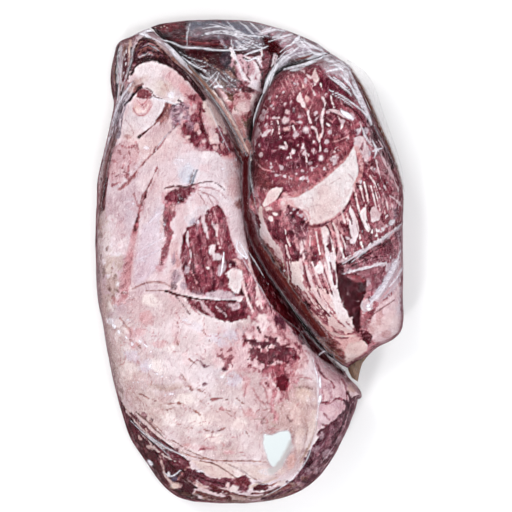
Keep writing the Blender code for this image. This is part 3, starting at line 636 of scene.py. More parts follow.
# painted shade along the same fold
# the crevice between the lumps: dark lean, painted darker for the shade in it
LARGE_MARKS_OVER_TEAR = """
# blood-dark torn patch on the lower cap
areas cover 0.92 height -0.3 edge 0.8 ragged 3.2
90 28 42: 249 350 258 348 266 352 274 346 285 346 294 352 295 361 286 364 276 361 266 365 256 359 249 358
92 40 54: 245 340 254 338 262 341 272 337 279 344 270 347 256 346
areas cover 0.92 height -0.3 edge 0.8 ragged 2.4
150 72 84: 271 366 285 362 288 376 287 391 279 391 274 378
areas cover 0.92 height -0.3 edge 0.8 ragged 1.4
100 24 40: 276 378 285 375 289 384 285 391 278 389
lines cover 0.85 height -0.2 ragged 2
92 38 52: 1.4 258 327 262 334 270 338 278 346 283 352
130 60 74: 1.4 284 347 292 350 299 358
120 56 70: 1.4 250 342 254 350 252 360
194 130 140: 2.4 274 392 272 404 276 418
150 84 98: 1.2 262 356 266 364 264 372
160 96 108: 1.4 288 356 294 366 292 374
178 118 128: 1 246 362 254 368 262 374
190 130 136: 1 296 364 292 378 286 396
areas cover 0.8 edge 4 ragged 3
214 170 177: 213 350 226 344 240 350 240 366 228 374 216 364
lines cover 0.7 height -0.1 ragged 2.2
150 84 96: 1.6 221 351 224 359 227 366, 1.6 218 356 226 358 234 357, 1.2 226 352 232 349, 0.8 228 360 233 366
spots cover 0.9 edge 0.4 ragged 0.8
70 36 48: 224 369 2 1.6 0
# marks and wrinkles of the lower cap
spots cover 0.7 edge 0.4 ragged 1.2
104 66 80: 204 366 3.4 1.7 20
116 78 92: 205 384 2.4 2.2 0
86 44 52: 144 415 2.5 2.3 0
80 44 52: 152 421 1.6 2.2 0
146 116 116: 122 390 1.4 3 0
196 134 142: 222 409 3.4 2 10
204 152 158: 136 334 7 5 -20
196 146 152: 133 345 3 4 0
206 160 166: 176 335 2 6 10
202 152 158: 203 448 12 3 4
150 84 94: 205 449 5 1.4 0
214 166 172: 246 384 4 8 0
206 158 160: 187 446 5 3 0
214 170 176: 228 452 6 2.4 4
lines cover 0.5 height -0.25 ragged 0.9
140 100 112: 0.8 200 361 206 366 213 364
136 78 90: 0.8 191 366 197 360
166 118 128: 0.7 200 357 208 362 217 366
192 144 144: 0.7 176 360 182 371 188 381 195 389
148 90 98: 1.2 180 377 186 386
172 128 124: 0.9 160 405 168 403 178 404 186 406 194 410 200 415
156 96 102: 1.2 212 400 221 398
170 114 118: 0.9 219 408 227 413 236 418
124 84 84: 0.8 152 424 158 431 163 434
206 182 180: 2.6 148 388 160 386 174 385 187 383
180 136 134: 0.7 137 397 144 404
186 142 140: 0.7 154 392 161 402
190 146 144: 0.7 162 408 166 420
186 140 140: 0.7 196 396 204 404 210 406
196 152 154: 0.7 206 390 213 400
178 124 128: 0.7 228 402 232 411
196 158 156: 0.7 172 420 182 427 192 428
200 160 160: 0.8 147 386 149 376 153 370
190 140 144: 0.8 166 341 172 350 180 360
170 112 116: 0.8 211 408 218 412
176 116 124: 1 140 336 146 344 144 352
186 130 136: 0.8 240 374 246 384 244 396
180 134 140: 0.9 213 431 211 438
178 116 122: 0.9 253 388 258 398 265 405
178 112 120: 0.9 262 380 266 392 268 403
166 104 110: 1 292 376 302 377 312 379
124 90 86: 1.2 294 388 304 387 313 389
196 150 154: 0.9 244 426 250 432
172 134 126: 0.9 294 402 302 412 307 430 303 450
172 132 128: 0.9 282 404 288 416 291 432
116 66 70: 1.2 285 413 290 421 295 419
178 154 146: 0.7 255 419 266 420 275 425
190 142 146: 0.8 240 406 246 416
186 160 154: 0.7 262 423 271 424 280 431
160 110 112: 1 292 394 296 404 304 406
190 140 144: 0.8 270 396 280 406 284 414
176 146 132: 1.2 313 432 309 446 303 458
130 96 88: 0.9 298 444 300 456 304 462
206 176 174: 0.7 256 436 262 446
spots cover 0.75 height 0.5 edge 0.4 ragged 1.2
222 196 184: 303 394 8 6 0
236 216 212: 296 414 5 12 -8
232 210 204: 300 440 4 14 6
226 184 178: 291 462 4 8 20
230 212 206: 312 424 3 18 6
240 224 220: 266 474 10 6 0
228 206 200: 304 400 4 7 0
236 214 208: 280 470 6 5 0
lines cover 0.8 ragged 0.4
172 142 130: 1.4 323 390 321 402 318 418 314 434 308 448 300 462
# right shoulder under the tip of the other lump
areas cover 0.95 edge 1.2 ragged 1.2
212 174 186: 313 355 322 361 333 371 346 378 350 392 347 406 338 420 326 430 317 426 319 404 319 388 315 370
spots cover 0.85 height 0.7 edge 0.4 ragged 0.8
231 202 209: 328 377 5 7 -30, 336 392 4.4 9 -10, 343 385 2.6 7 -12, 326 395 3.4 6 0, 332 411 7 5.5 10,
 322 368 3 4 -20
lines cover 0.9 height -0.4 ragged 0.8
146 82 98: 1 320 402 330 403 337 398 343 400
150 96 108: 1 317 364 323 376 331 382 334 388
160 100 114: 0.9 322 388 324 399
164 104 116: 1 340 377 346 388 347 399
150 90 104: 1.2 322 424 331 427 338 420
176 120 132: 0.8 330 384 332 396 328 404, 0.8 324 414 330 420
76 50 42: 2.8 334 362 345 368 354 377 362 380
84 46 42: 1.5 346 380 356 382 360 392
84 36 44: 1.5 348 392 352 402
spots cover 0.9 height 0.4 edge 0.4 ragged 0.8
224 196 188: 352 388 4.4 4.4 0
areas cover 0.95 edge 1 ragged 1.6 streak 0.15
92 48 62: 349 398 358 394 361 402 356 420 346 440 331 465 308 487 286 497 262 499 279 485 293 479 300 470
 306 456 316 441 321 429 334 421 344 410
lines cover 0.85 ragged 1
58 24 36: 2.6 346 402 350 411 344 424 336 437
66 30 42: 2.2 320 440 312 452 304 468
112 70 86: 3 332 428 326 440 318 450
156 118 130: 0.9 351 404 345 424 335 444 321 463 306 478
66 30 42: 1.6 340 430 330 448 316 466
130 92 96: 1.6 296 480 312 474 326 462
126 92 88: 2.2 270 492 286 488 300 484
58 26 36: 1.4 312 460 304 472 296 478
spots cover 0.75 edge 0.4 ragged 1.2
160 132 144: 308 472 4 3.4 0, 301 484 3 2.2 0, 285 483 2.4 2.4 0, 316 449 4 2.4 -30, 327 453 6 3.4 -40,
 339 441 2.4 6 25, 350 418 1.8 5 20, 319 470 5 2.4 -40, 322 436 3 4 0, 356 402 2 4 10
# lower rim
areas cover 0.95 height -0.4 edge 1 ragged 0.8 streak 0.05
66 24 32: 112 396 121 402 130 414 142 426 152 437 163 446 176 452 187 461 191 470 196 482 186 500 160 492
 140 466 124 436
lines cover 0.9 height 0.1 ragged 0.6
92 54 54: 2.2 120 404 127 420 137 438 150 456
36 10 14: 1.6 132 424 144 440 158 456
110 54 64: 1.8 138 430 150 444 160 452
172 162 178: 1.3 147 430 157 441 167 451 177 459 186 463
206 196 206: 0.8 150 438 162 450 176 458
218 192 182: 1.5 123 405 134 418 146 430 158 441
88 50 52: 0.8 131 413 144 425 156 436 166 445
112 82 78: 0.9 136 412 148 422 162 436 176 448 190 456
168 130 124: 0.7 150 420 160 430 170 441 182 450
230 208 210: 2 156 450 166 455 178 461 190 468
218 192 186: 1.9 160 455 162 466 165 476 171 483
150 102 100: 1.2 178 480 184 471 190 465
224 212 214: 1.8 184 480 194 486 205 493
110 60 66: 1 190 478 202 486 214 492
40 12 16: 1.6 168 462 176 466 184 472
44 14 12: 3 172 490 184 494 196 497
132 106 90: 2.8 196 493 212 497 226 500 244 503
70 40 36: 1.2 156 462 158 474 164 484
spots cover 0.95 height 0.4 edge 0.4 ragged 0.6
242 222 212: 175 486 6 3.2 0
spots cover 0.95 edge 0.4 ragged 0.8
238 240 250: 168 475 2 2.6 0
spots cover 0.8 edge 0.4 ragged 0.8
76 68 90: 174 479 3 2.6 0
areas cover 0.95 edge 1 ragged 0.8
232 212 208: 192 460 208 462 228 463 250 464 268 468 262 478 246 480 228 480 212 476 200 470
areas cover 0.95 height -0.3 edge 1 ragged 1.4
106 50 63: 187 468 200 471 212 478 232 478 246 475 251 484 244 493 232 488 214 488 200 483
lines cover 0.85 height -0.4 ragged 0.5
70 24 34: 1.3 196 476 210 482 224 484
150 106 116: 1.8 204 487 218 491 230 498
198 172 162: 1.8 224 493 236 498 250 502
216 192 182: 1.8 250 487 264 483 277 478
150 120 110: 2.2 236 496 256 498 276 492 292 484
150 104 96: 1 256 482 268 486 280 482
112 84 60: 3.6 174 501 200 504 235 506 268 502 292 494
150 112 106: 0.8 200 461 214 464 226 471 240 481
166 124 114: 0.8 226 463 240 470 256 480
150 112 106: 0.8 172 440 186 449 200 456 214 461
160 116 106: 0.9 164 443 176 450 190 456 205 459 225 461 250 461 266 462
spots cover 0.8 edge 0.4 ragged 1.2
98 30 38: 241 483 8 4 0
spots cover 0.95 edge 0.4 ragged 1.2
242 232 234: 234 489 5 3.6 0
spots cover 0.9 edge 0.4 ragged 0.8
226 196 202: 228 485 2 3 0
spots cover 0.85 edge 0.4 ragged 0.8
226 208 198: 213 498 4 2 0
areas cover 1 edge 1.4 ragged 0.5 streak 0 vein 0
72 6 14: 244 150 243 180 242.5 206 244 226 248 248 253 268 263 292 274 309 288 324 302 340 314 353 330 364
 344 366 330 345 304 315 286 288 270 262 260 240 254 210 253 180 252 150
lines cover 0.85 ragged 1.2
126 48 56: 4 247 150 245.5 170 244.5 190 245 208
lines cover 0.7 ragged 1
96 22 30: 1.6 249 216 254 240 264 264 280 286
spots cover 0.65 edge 0.4 ragged 1.6
120 88 68: 186 497 9 4 20, 206 501 12 3 8, 170 488 4 3 30, 292 492 8 3 -30, 304 478 4 3 -40
spots cover 0.9 height -0.2 edge 0.4 ragged 2
74 18 26: 150 462 7 7 -40, 136 444 4 9 -30, 176 494 9 3 20, 142 452 5 8 -30, 156 470 6 6 0, 132 430 3 8 -20,
 164 484 5 4 20, 220 492 8 3 10, 262 488 7 3 -10
spots cover 0.8 height 0.1 edge 0.4 ragged 1.6
214 186 180: 150 446 4 3 30, 164 458 4 2 20, 140 436 2 4 -20, 158 480 3 2 0, 202 486 6 2 20, 282 484 5 2 -20
areas cover 0.85 edge 1.2 ragged 2.2
92 40 50: 120 402 130 412 141 423 152 432 162 440 173 448 182 456 188 464 180 470 168 463 155 452 143 440
 131 426 122 412
lines cover 0.85 height 0.1 ragged 1
208 188 186: 0.9 125 410 137 424 151 438 165 449, 0.8 150 446 164 456 178 463, 0.7 138 431 150 443 159 452,
 1 158 434 171 444 185 454, 0.7 146 434 158 444 170 452
lines cover 0.85 height -0.2 ragged 1
44 12 18: 1.2 128 418 140 432 154 444, 1 152 438 164 447 178 458, 0.8 162 440 174 450 186 460
lines cover 0.8 height -0.2 ragged 0.8
92 40 40: 2.4 196 492 212 497 230 499, 1.6 210 486 226 492 246 497, 1.8 252 494 272 492 290 486
lines cover 0.9 height -0.2 ragged 0.8
52 12 14: 2.6 126 424 136 444 148 464 160 480, 1.6 168 462 182 478 196 488, 2 174 494 190 499 206 501
"""
# painted highlights on some of the flecks
# the crevice's edge: dark lean, painted darker for the shade in it
SMALL_MARKS = """
areas cover 0.7 edge 8 ragged 3 streak 0.35
196 138 144: 300 225 345 215 345 260 336 300 300 320 280 280 285 245
areas cover 0.8 edge 4 ragged 3 streak 0.45
136 66 79: 356 150 386 150 404 190 404 240 360 262 345 240 350 200
# the round face
areas cover 1 edge 1.2 ragged 0.8 fleck 0.12 streak 0
122 54 69: 282 71 296 66 314 64 330 68 344 74 354 86 362 102 368 120 364 134 354 148 338 164 322 178 306 188
 286 192 270 190 258 182 252 168 251 152 252 138 256 122 262 106 270 88
spots cover 0.85 edge 0.4 ragged 2.5
86 24 42: 276 142 25 9 0, 282 153 26 8 -6, 306 140 8 12 0, 322 112 20 14 20, 340 92 12 9 30, 310 150 14 16 0,
 326 84 8 6 30, 300 163 22 5 -8, 283 118 12 20 0
spots cover 0.75 edge 0.4 ragged 2.5
152 84 95: 287 86 20 13 -10, 306 96 8 20 -16, 334 66 10 5 10, 270 100 8 10 0, 302 73 20 7 0, 318 104 7 12 0,
 346 108 10 4 30, 352 128 8 8 0
spots cover 0.8 edge 0.4 ragged 1.8
160 94 102: 344 146 12 6 -46, 330 162 14 4 -40, 314 176 13 4 -38, 292 179 8 6 20, 300 188 13 4 -20,
 336 140 8 4 -50, 284 183 8 3 10
spots cover 0.7 edge 0.4 ragged 2
112 54 58: 262 176 7 14 10, 256 166 4 12 0, 268 186 7 5 0
lines cover 0.75 ragged 0.6
206 150 156: 0.8 288 76 291 84 293 90, 0.7 293 75 297 83 301 91, 0.7 297 74 301 80 305 88, 0.8 281 82 284 88,
 0.6 285 79 288 86, 0.9 301 69 306 76 310 84 312 90, 0.7 276 98 282 102, 0.7 290 88 294 95, 0.7 303 79 307 90
 309 100, 1.4 306 96 305 104 308 112, 0.6 278 88 281 93, 0.8 308 98 312 102 310 108, 0.9 252 157 257 163
 263 169 271 171, 0.8 296 124 292 121 290 124, 1 332 142 340 140 348 136, 0.7 336 96 342 104, 0.8 320 60
 326 62, 0.7 342 84 347 92, 0.8 263 104 268 109, 0.7 327 118 332 122
lines cover 0.95 height 0.12 ragged 0.9
230 210 216: 1.5 312 127 315 129 317 134 318 140, 1.7 323 112 322 118 322 124 323 129 322 134 319 140,
 1 319 140 320 146 320 151, 1.5 323 98 325 104 323 111, 1.2 331 95 332 101 334 108, 2 330 110 336 111 342 115
 349 118, 1.3 293 126 294 129 296 133, 1.1 308 112 309 118 311 123, 1.2 334 152 336 148 340 146, 1.2 301 69
 306 74 311 78, 0.9 315 84 312 88 315 95, 0.8 321 84 322 90, 1.1 342 123 341 129, 1 277 120 279 126 279 133,
 1 273 130 271 136, 0.8 305 151 309 156, 0.8 312 149 314 155, 2 258 124 256 132 254 142, 0.9 338 116 342 124,
 0.8 327 124 331 127, 0.7 285 142 287 147, 0.9 290 153 291 158, 0.9 264 110 268 113 267 118, 0.7 306 156
 307 162, 1 360 122 361 128 356 134
spots cover 0.9 height 0.12 edge 0.4 ragged 1.6
210 190 199 158 94 106: 277 96 2.1 2 0, 272 105 1.6 4.4 -8, 285 104 1.7 2.8 20, 291 101 1.2 4 0,
 287 113 2.6 3.6 0, 286 120 3.6 3.8 30, 262 117 3 4 20, 265 112 3 1.8 0, 276 118 4.2 1.5 -10,
 278 111 1.3 3.2 0, 266 125 1.6 2.2 0, 265 134 4 1.8 -35, 257 133 2.4 7 12, 254 142 2.6 5 10,
 296 134 2.6 3 0, 298 113 0.9 1.4 0, 300 117 2.4 3.4 0, 300 122 2.4 1.1 0, 306 130 2.6 3.2 0,
 314 142 2.2 2 0, 314 150 1.2 2.8 0, 305 81 1.6 2.2 0, 326 94 1.3 1.6 0, 352 117 3.6 3.6 0, 343 121 1.2 1 0,
 330 133 2.2 3.2 0, 327 142 1.8 2.6 0, 334 159 4 3 -30, 335 163 1.8 2.6 0, 321 158 2.4 3 0, 303 147 2.2 4 15,
 283 148 2.8 1.5 20, 293 152 2 2.2 0, 305 153 1.6 2 0, 275 151 3 0.8 10, 261.5 154 2.2 2 0,
 295 162 1.6 0.9 0, 281 168 3 2.2 0, 278 175 3 1.2 0, 284 176 1.6 1.4 0, 296 173 2 1.5 0,
 317 166 2.4 1.2 -20, 312 169 0.9 2 0, 303 178 1.6 1 0, 308 178 0.7 1.5 0, 316 113 1.6 2 0, 270 98 1.2 0.9 0,
 283 92 0.9 0.9 0, 288 158 1 1.2 0, 271 166 0.9 1.8 0, 268 143 0.8 0.7 0, 310 136 0.9 0.8 0,
 298 145 0.7 0.8 0, 328 112 1.4 1.2 0, 324 170 0.8 1.4 0, 342 111 1 0.8 0, 288 165 1 0.8 0, 259 145 1.2 1 0
spots cover 0.7 height 0.1 edge 0.4 ragged 0.6
244 234 238: 277 96 1.2 1.1 0, 306 129 1.8 2 0, 283 148 2 0.9 20, 303 146 1.3 3 15, 293 152 1.2 1.6 0,
 321 158 1.4 2 0, 342 127 0.7 2 30, 294 128 0.8 2 -20, 314 142 1.4 1.2 0, 334 157 1.6 1 0
areas cover 0.95 height 0.15 edge 0.6 ragged 0.6
244 228 230: 297 98 300 92 302 97 304.6 103 305.6 108 302 107 300 103 297.4 101
areas cover 0.92 height 0.12 edge 0.7 ragged 0.8
240 218 218: 311 76 315 68 316 72 318 76 319 80 316 83 313 81 312 78 309 77
spots cover 0.85 height 0.1 edge 0.4 ragged 0.8
236 196 194: 287 129 3.6 2.4 0, 307 100 2 5 -10, 303 86 1 3 0, 320 136 1 3 0
spots cover 0.6 edge 0.4 ragged 0.4
178 160 170: 285 118 1.4 3 20, 330 133 1.2 1.8 0, 272 106 0.7 2.4 0, 300 117 1.1 1.6 0, 334 159 1.5 1.2 0
lines cover 0.7 ragged 0.7
168 106 116: 0.6 264 128 268 126 272 128, 0.5 276 126 280 129 278 134, 0.6 268 140 272 138, 0.5 286 126
 290 130 289 135, 0.6 296 138 300 136 304 138, 0.5 284 160 285 166, 0.5 289 161 291 167, 0.6 294 166 296 171,
 0.5 300 164 302 170, 0.5 306 162 307 168, 0.6 276 160 278 166, 0.5 298 152 300 158, 0.6 326 116 330 114
 334 116, 0.5 332 122 336 118, 0.5 336 130 340 126, 0.6 344 132 348 128, 0.5 346 122 350 125, 0.5 312 98
 313 104, 0.6 318 92 320 98, 0.5 326 100 328 106, 0.5 334 84 338 88, 0.6 280 104 281 110, 0.5 296 106
 298 110, 0.5 303 112 306 116, 0.5 310 160 314 158, 0.6 316 170 320 166, 0.5 322 176 326 172, 0.5 270 116
 272 122, 0.5 260 148 264 150, 0.5 272 146 277 147, 0.5 289 140 293 142, 0.6 310 128 311 134
spots cover 0.8 height 0.06 edge 0.4 ragged 1.8
202 176 186: 290 127 1 0.8 0, 300 128 0.7 1.2 20, 281 138 0.8 0.7 0, 272 124 0.9 0.7 0, 316 120 0.7 1.4 10,
 334 136 1.2 0.7 -20, 326 150 0.8 1.2 0, 311 163 1.2 0.7 0, 297 167 0.8 1 0, 266 160 0.8 0.7 0,
 303 171 1.3 0.8 10, 290 178 1.2 0.8 0, 278 112 0.7 1.1 0, 293 108 0.8 0.8 0, 322 104 0.7 1.2 0,
 347 140 1.2 0.7 -40, 338 150 1 1.4 -40, 328 164 1 0.7 0, 307 172 0.8 0.8 0, 273 172 1.4 0.8 0,
 313 84 0.8 1 0, 298 84 0.7 1.2 -20
# fat round the face
lines cover 0.9 height 0.1 ragged 0.6
224 214 221: 2.4 272 80 282 70 300 65 316 61 334 57, 3.4 330 60 342 61 350 70, 2.6 268 86 260 104 255 118
spots cover 0.85 edge 0.4 ragged 0.8
88 30 30: 303 61 9 2.4 -8, 334 61 5 1.6 0
areas cover 0.8 edge 2 ragged 1.6
186 164 174: 318 64 330 58 346 62 354 74 350 82 340 78 328 72
lines cover 0.75 ragged 1
186 164 174: 3.4 354 84 362 100 368 118 371 130, 1.8 249 156 250 176 254 196 259 208
lines cover 0.85 height -0.3 ragged 0.5
70 24 34: 1.2 346 104 354 110 362 119 368 128, 1 326 92 336 98 346 106, 1.4 247 160 247 186 247 204,
 1.6 364 128 368 136 374 144, 1.4 352 74 357 84 362 94
areas cover 0.9 edge 1 ragged 1.2
226 210 217: 353 138 361 136 365 141 368 148 369 156 367 162 360 154 355 148
spots cover 0.85 edge 0.4 ragged 1
196 184 196: 358 131 3 4 30, 372 140 2.4 5 10, 366 131 2 3 0, 370 152 1.6 5 0
spots cover 0.85 edge 0.4 ragged 1.2
92 36 50: 354 132 3 2.4 0, 362 146 1.4 4 20, 366 166 2.4 5 10, 362 174 4 4 0, 372 164 1.6 5 0
# the crescent of hard fat
lines cover 0.7 ragged 1
202 136 138: 5 356 150 346 161 334 172 322 183 308 193 294 198
areas cover 1 height 0.7 edge 1.3 ragged 0.6 streak 0 fleck 0 vein 0
237 231 234: 354 146 357 160 358 174 355 186 350 198 344 208 334 216 325 221 314 225 309 221 305 212 299 208
 291 206 287 199 297 197 310 190 322 181 334 171 346 159
spots cover 0.6 edge 0.4 ragged 2
228 204 208: 298 203 8 4 20, 306 213 4 5 0, 340 200 6 3 -40
lines cover 0.75 ragged 1
218 158 158: 2.6 356 148 361 160 361 172 356 184
lines cover 0.6 ragged 0.3
196 170 176: 0.7 311 207 318 205 325 207, 0.7 349 174 354 181, 0.7 300 200 312 198, 0.6 330 184 340 178
lines cover 0.8 ragged 0.3
216 168 172: 1.2 303 209 308 213 310 219 306 222
lines cover 0.85 height -0.5 ragged 0.8
76 34 46: 1.3 305 224 314 227 324 224 334 219 344 211 350 201
# left of the crescent
areas cover 0.95 height 0.2 edge 0.8 ragged 0.8
244 232 231: 261 205 265 198 270 190 275 188 282 188 281 193 277 199 271 203 264 207
lines cover 0.9 ragged 0.5
92 40 48: 1 277 200 280 195 283 191
areas cover 0.8 edge 2 ragged 1.5
214 158 160: 284 193 292 200 296 210 288 214 280 206
spots cover 0.9 height 0.1 edge 0.4 ragged 1
238 220 218: 268 209 5 2.4 0, 275 214 3 1.6 20, 283 203 2 2 0, 271 219 1.6 2.4 0
areas cover 0.95 edge 0.8 ragged 0.8
102 34 48: 256 213 260 218 263 226 265 232 261 238 256 236 254 228 256 220
lines cover 0.85 height 0.3 ragged 0.5
206 184 172: 3.6 250 204 248 214 247 226 250 236 257 243
lines cover 0.9 height 0.2 ragged 0.6
240 222 216: 2.2 259 208 261 218 265 228 268 236, 3.2 264 232 270 241 277 249 281 256, 1.4 281 256 283 262
areas cover 0.9 edge 0.8 ragged 1.6
104 44 60: 288 206 296 210 304 222 309 230 308 236 301 243 297 238 292 241 288 232 291 224 286 214
spots cover 0.85 height 0.1 edge 0.4 ragged 0.9
196 186 196: 301 216 2.4 1.6 30, 294 209 1.8 1.2 0, 298 213 1 1.4 0, 305 219 1.4 1 0, 291 213 1 0.8 0,
 278 222 1.2 0.9 0
spots cover 0.85 edge 0.4 ragged 0.8
50 16 26: 298 210 2 1.6 0, 303 222 2.4 1.6 0, 293 216 1.4 2 0
lines cover 0.8 ragged 0.5
184 124 134: 0.7 296 228 300 236, 0.7 301 226 305 235, 0.7 293 230 296 238
# long streaks, and the broad white one in the middle
areas cover 0.92 height 0.1 edge 0.8 ragged 1.6
240 216 218: 261 224 267 230 273 240 281 249 284 259 279 258 272 248 265 241 260 234
areas cover 0.92 edge 0.8 ragged 1.8
102 36 50: 271 226 281 228 287 236 283 242 276 240 272 234
areas cover 0.88 edge 0.8 ragged 2
150 82 94: 280 243 289 244 297 250 299 259 291 263 284 258
areas cover 0.85 edge 1.5 ragged 2
140 72 80: 308 228 319 228 321 244 322 258 312 262 308 248
areas cover 0.85 edge 2 ragged 2.5
246 222 220: 304 288 318 288 332 294 343 306 353 321 352 332 340 331 326 322 313 307
lines cover 0.8 height -0.1 ragged 0.9
156 84 96: 1.4 313 290 319 298 326 307, 1.2 322 295 328 305 335 313, 1 330 312 338 321 346 327, 0.9 306 294
 312 303 320 312, 0.8 338 306 343 314, 1.2 316 270 320 280 326 290
lines cover 0.92 height -0.15 ragged 0.7
96 34 48: 3.2 277 222 276 230 277 237, 2.2 268 222 270 230, 3 284 241 286 247, 3.2 287 250 288 257,
 2.8 292 243 296 251, 2.8 298 251 297 259, 1.8 326 224 329 232 331 240, 1.7 332 222 334 230, 1.3 335 239
 337 247 336 255, 2.6 342 223 345 230, 2.4 348 226 350 234, 1.6 321 275 324 284 328 293, 1.4 358 205 360 218
 362 230 365 238, 1.2 369 204 370 212, 1.4 381 210 383 221, 1.2 377 223 379 232, 2 344 244 347 254,
 1.6 350 245 350 256, 1 313 276 317 288 321 300, 2.2 357 236 358 246, 2 371 226 370 238, 1.4 354 196 357 206,
 1.6 366 186 370 198, 1.4 375 192 378 204, 1.6 386 202 389 214, 2.2 384 150 388 162 392 172, 1.6 378 158
 380 172, 2.8 316 252 318 259, 1.4 311 246 313 253, 1.2 282 228 283 236, 1.4 292 228 291 236
lines cover 0.85 height -0.05 ragged 0.6
156 88 97: 3.6 315 226 316 238 317 248, 1.6 306 246 308 258 308 270, 1.4 304 276 310 290 317 302, 1.6 336 262
 338 272, 1.4 340 232 343 242, 1.2 323 244 325 256 327 268, 1.5 309 292 315 302 322 312 327 320, 1.4 334 226
 337 232, 2.4 365 233 368 240, 1.4 299 290 306 300 314 312, 1.4 286 226 288 236, 1.6 372 206 376 218
areas cover 0.95 height 0.15 edge 0.9 ragged 0.8 streak 0
245 238 242: 321 227 327 227 331 238 334 247 335.5 262 337 274 340 288 344 300 350 314 356 326 348 328
 338 318 332 300 329 284 327 266 325 252 323 240
areas cover 0.95 height 0.12 edge 0.7 ragged 0.6 streak 0
237 226 232: 350 205 353 211 356 221 358 232 357 240 354 244 352 238 350 228 349 216
areas cover 0.95 height 0.12 edge 0.7 ragged 0.5 streak 0
240 228 232: 360 214 362 209 366 207 366 216 369 226 370 232 366 230 363 222
areas cover 0.9 edge 0.8 ragged 1 streak 0
226 198 203: 370 212 374 207 380 212 378 220 371 221
areas cover 0.95 height 0.1 edge 0.8 ragged 1.4 streak 0
250 236 234: 291 263 299 261 300 268 303 274 302 284 306 290 300 290 294 283 291 274
lines cover 0.9 height 0.12 ragged 0.5
236 214 218: 1.4 333 223 337 232 339 242 342 252 343 262, 0.9 341 235 345 245 347 255, 2.6 303 241 302 252
 301 262 303 272, 0.9 287 262 288 271 289 280, 2.2 306 266 311 282 318 297 328 311, 1.4 320 262 326 278
 332 294, 0.9 285 230 287 238 290 246, 0.8 356 198 359 210 362 220, 0.8 354 214 358 226 360 238, 0.9 371 186
 374 198 376 208, 1.1 382 190 386 200 388 210, 0.7 364 182 367 194 368 204, 1.6 340 208 343 216 345 222,
 1 316 232 318 244 320 254, 1.2 310 236 310 246, 2.6 372 168 380 174 390 178, 1.5 389 178 396 186 402 192,
 0.7 318 284 322 296 328 306, 0.7 347 214 348 224, 0.9 361 242 364 252, 0.8 370 176 376 186 380 198,
 0.8 378 184 384 196 388 206
spots cover 0.9 height 0.1 edge 0.4 ragged 0.8
222 206 214: 347 238 3 1.6 0, 352 241 2 2 0, 376 236 1.4 1.2 0, 382 237 1.6 1 0, 372 231 1 2.6 0,
 387 216 1.6 1.2 0
spots cover 1 height 0.2 edge 0.2 ragged 0.2 streak 0
248 242 242: 319 269 4.3 4.8 0
spots cover 0.85 edge 0.4 ragged 1.2
216 208 216: 383 229 6 2 -36
118 84 100: 395 211 4 10 6, 398 234 3.6 7 0
lines cover 0.88 height -0.15 ragged 0.9
112 48 62: 1.6 303 262 306 276 310 288, 1.4 297 286 303 297 310 308, 1.2 310 264 314 276 319 288, 1.4 324 268
 328 282 333 296, 1.2 290 258 290 268 291 278, 1.6 330 262 333 272 335 284, 1 316 300 322 308 330 317,
 1.3 344 236 347 246 348 258, 1.2 302 236 304 246 305 256
spots cover 0.88 height -0.2 edge 0.4 ragged 1.6
92 32 46: 314 262 3 6 0, 330 242 3 8 -6, 346 254 5 6 0, 304 254 3 5 0, 296 256 4 3 0, 322 286 2 8 -20
lines cover 0.9 height 0.1 ragged 0.8
240 214 216: 1 286 246 289 258 291 270, 1.2 312 262 317 276 323 290, 1 325 262 328 276 333 290, 0.9 300 280
 307 292 316 304, 0.8 330 236 333 248 336 258, 0.9 341 248 344 258 344 266, 0.8 300 244 303 254 304 262
# under the film's fold, right and lower
lines cover 0.9 ragged 1
84 22 34: 1.8 340 264 352 260 364 254 376 247 388 242 400 238
areas cover 0.8 edge 2.5 ragged 1.6 streak 0.3
140 84 97: 344 268 366 258 384 250 400 244 404 262 392 276 378 290 366 292 360 280 352 274
spots cover 0.8 edge 0.4 ragged 1.2
205 190 200: 380 264 6 2.6 10, 346 270 5 1.8 -10, 368 283 3.4 4.4 20, 388 268 2 5 20, 394 262 2.4 7 0
areas cover 0.97 height -0.6 edge 1 ragged 1.4 streak 0
66 14 24: 336 262 341 266 345 272 356 274 366 279 366 288 364 299 362 308 360 316 360 330 356 331 352 322
 347 312 342 302 339 291 337 276
spots cover 0.85 edge 0.4 ragged 1.4
136 62 72: 356 279 9 3.4 14
spots cover 0.9 height 0.1 edge 0.4 ragged 0.7
214 190 196: 345 285 2 1.8 0, 348 288 1 1.6 0, 344 289 0.8 1 0, 348 294 0.8 2 0, 350 304 0.8 0.8 0,
 341 283 0.8 0.8 0, 358 301 1 0.8 0, 352 318 1.4 0.9 0, 364 313 1.6 1 0
areas cover 0.9 edge 1 ragged 1.4
206 190 198: 362 300 370 298 374 304 372 310 366 312 361 308
spots cover 0.95 edge 0.4 ragged 0.5
246 242 246: 369 309 1.6 1.4 0, 368 304 1 1.4 0
lines cover 0.85 ragged 1
126 60 74: 2.6 375 272 373 282 372 292 370 300
areas cover 0.85 edge 1.5 ragged 1.6 streak 0
216 206 218: 384 278 394 264 404 256 405 270 400 284 390 296 378 302 374 298 378 288
areas cover 0.95 height 0.2 edge 2 ragged 1.2 streak 0
240 218 224: 380 302 390 296 398 284 407 268 408 300 404 326 392 338 380 342 370 338 370 324 374 312
spots cover 0.7 edge 0.4 ragged 1.5
224 214 226: 402 312 4 16 4, 394 330 8 4 -20
spots cover 0.7 edge 0.4 ragged 1.6
200 150 154: 379 318 3 8 10, 371 330 4 5 0, 386 334 6 3 -10, 404 278 3 8 10
areas cover 0.9 edge 0.8 ragged 1
76 22 32: 361 330 367 331 372 335 371 342 366 346 362 339
lines cover 0.7 ragged 0.5
150 104 110: 0.9 366 322 374 314 384 307 394 300
lines cover 0.9 height 0.2 ragged 1.4
176 142 150: 2.6 342 262 354 256 366 249 378 242 390 234 402 226
lines cover 0.85 height 0.2 ragged 1.2
222 208 214: 0.9 346 258 358 252 370 245 382 238 396 228, 2.2 372 266 378 264 385 263, 1.4 342 273 352 271
 364 268 374 266
lines cover 0.9 height -0.3 ragged 1
62 12 24: 1.5 338 266 352 262 364 257 376 250 388 244 401 240, 1 344 264 356 258 368 251 380 244, 0.9 352 266
 364 261 376 257 386 256
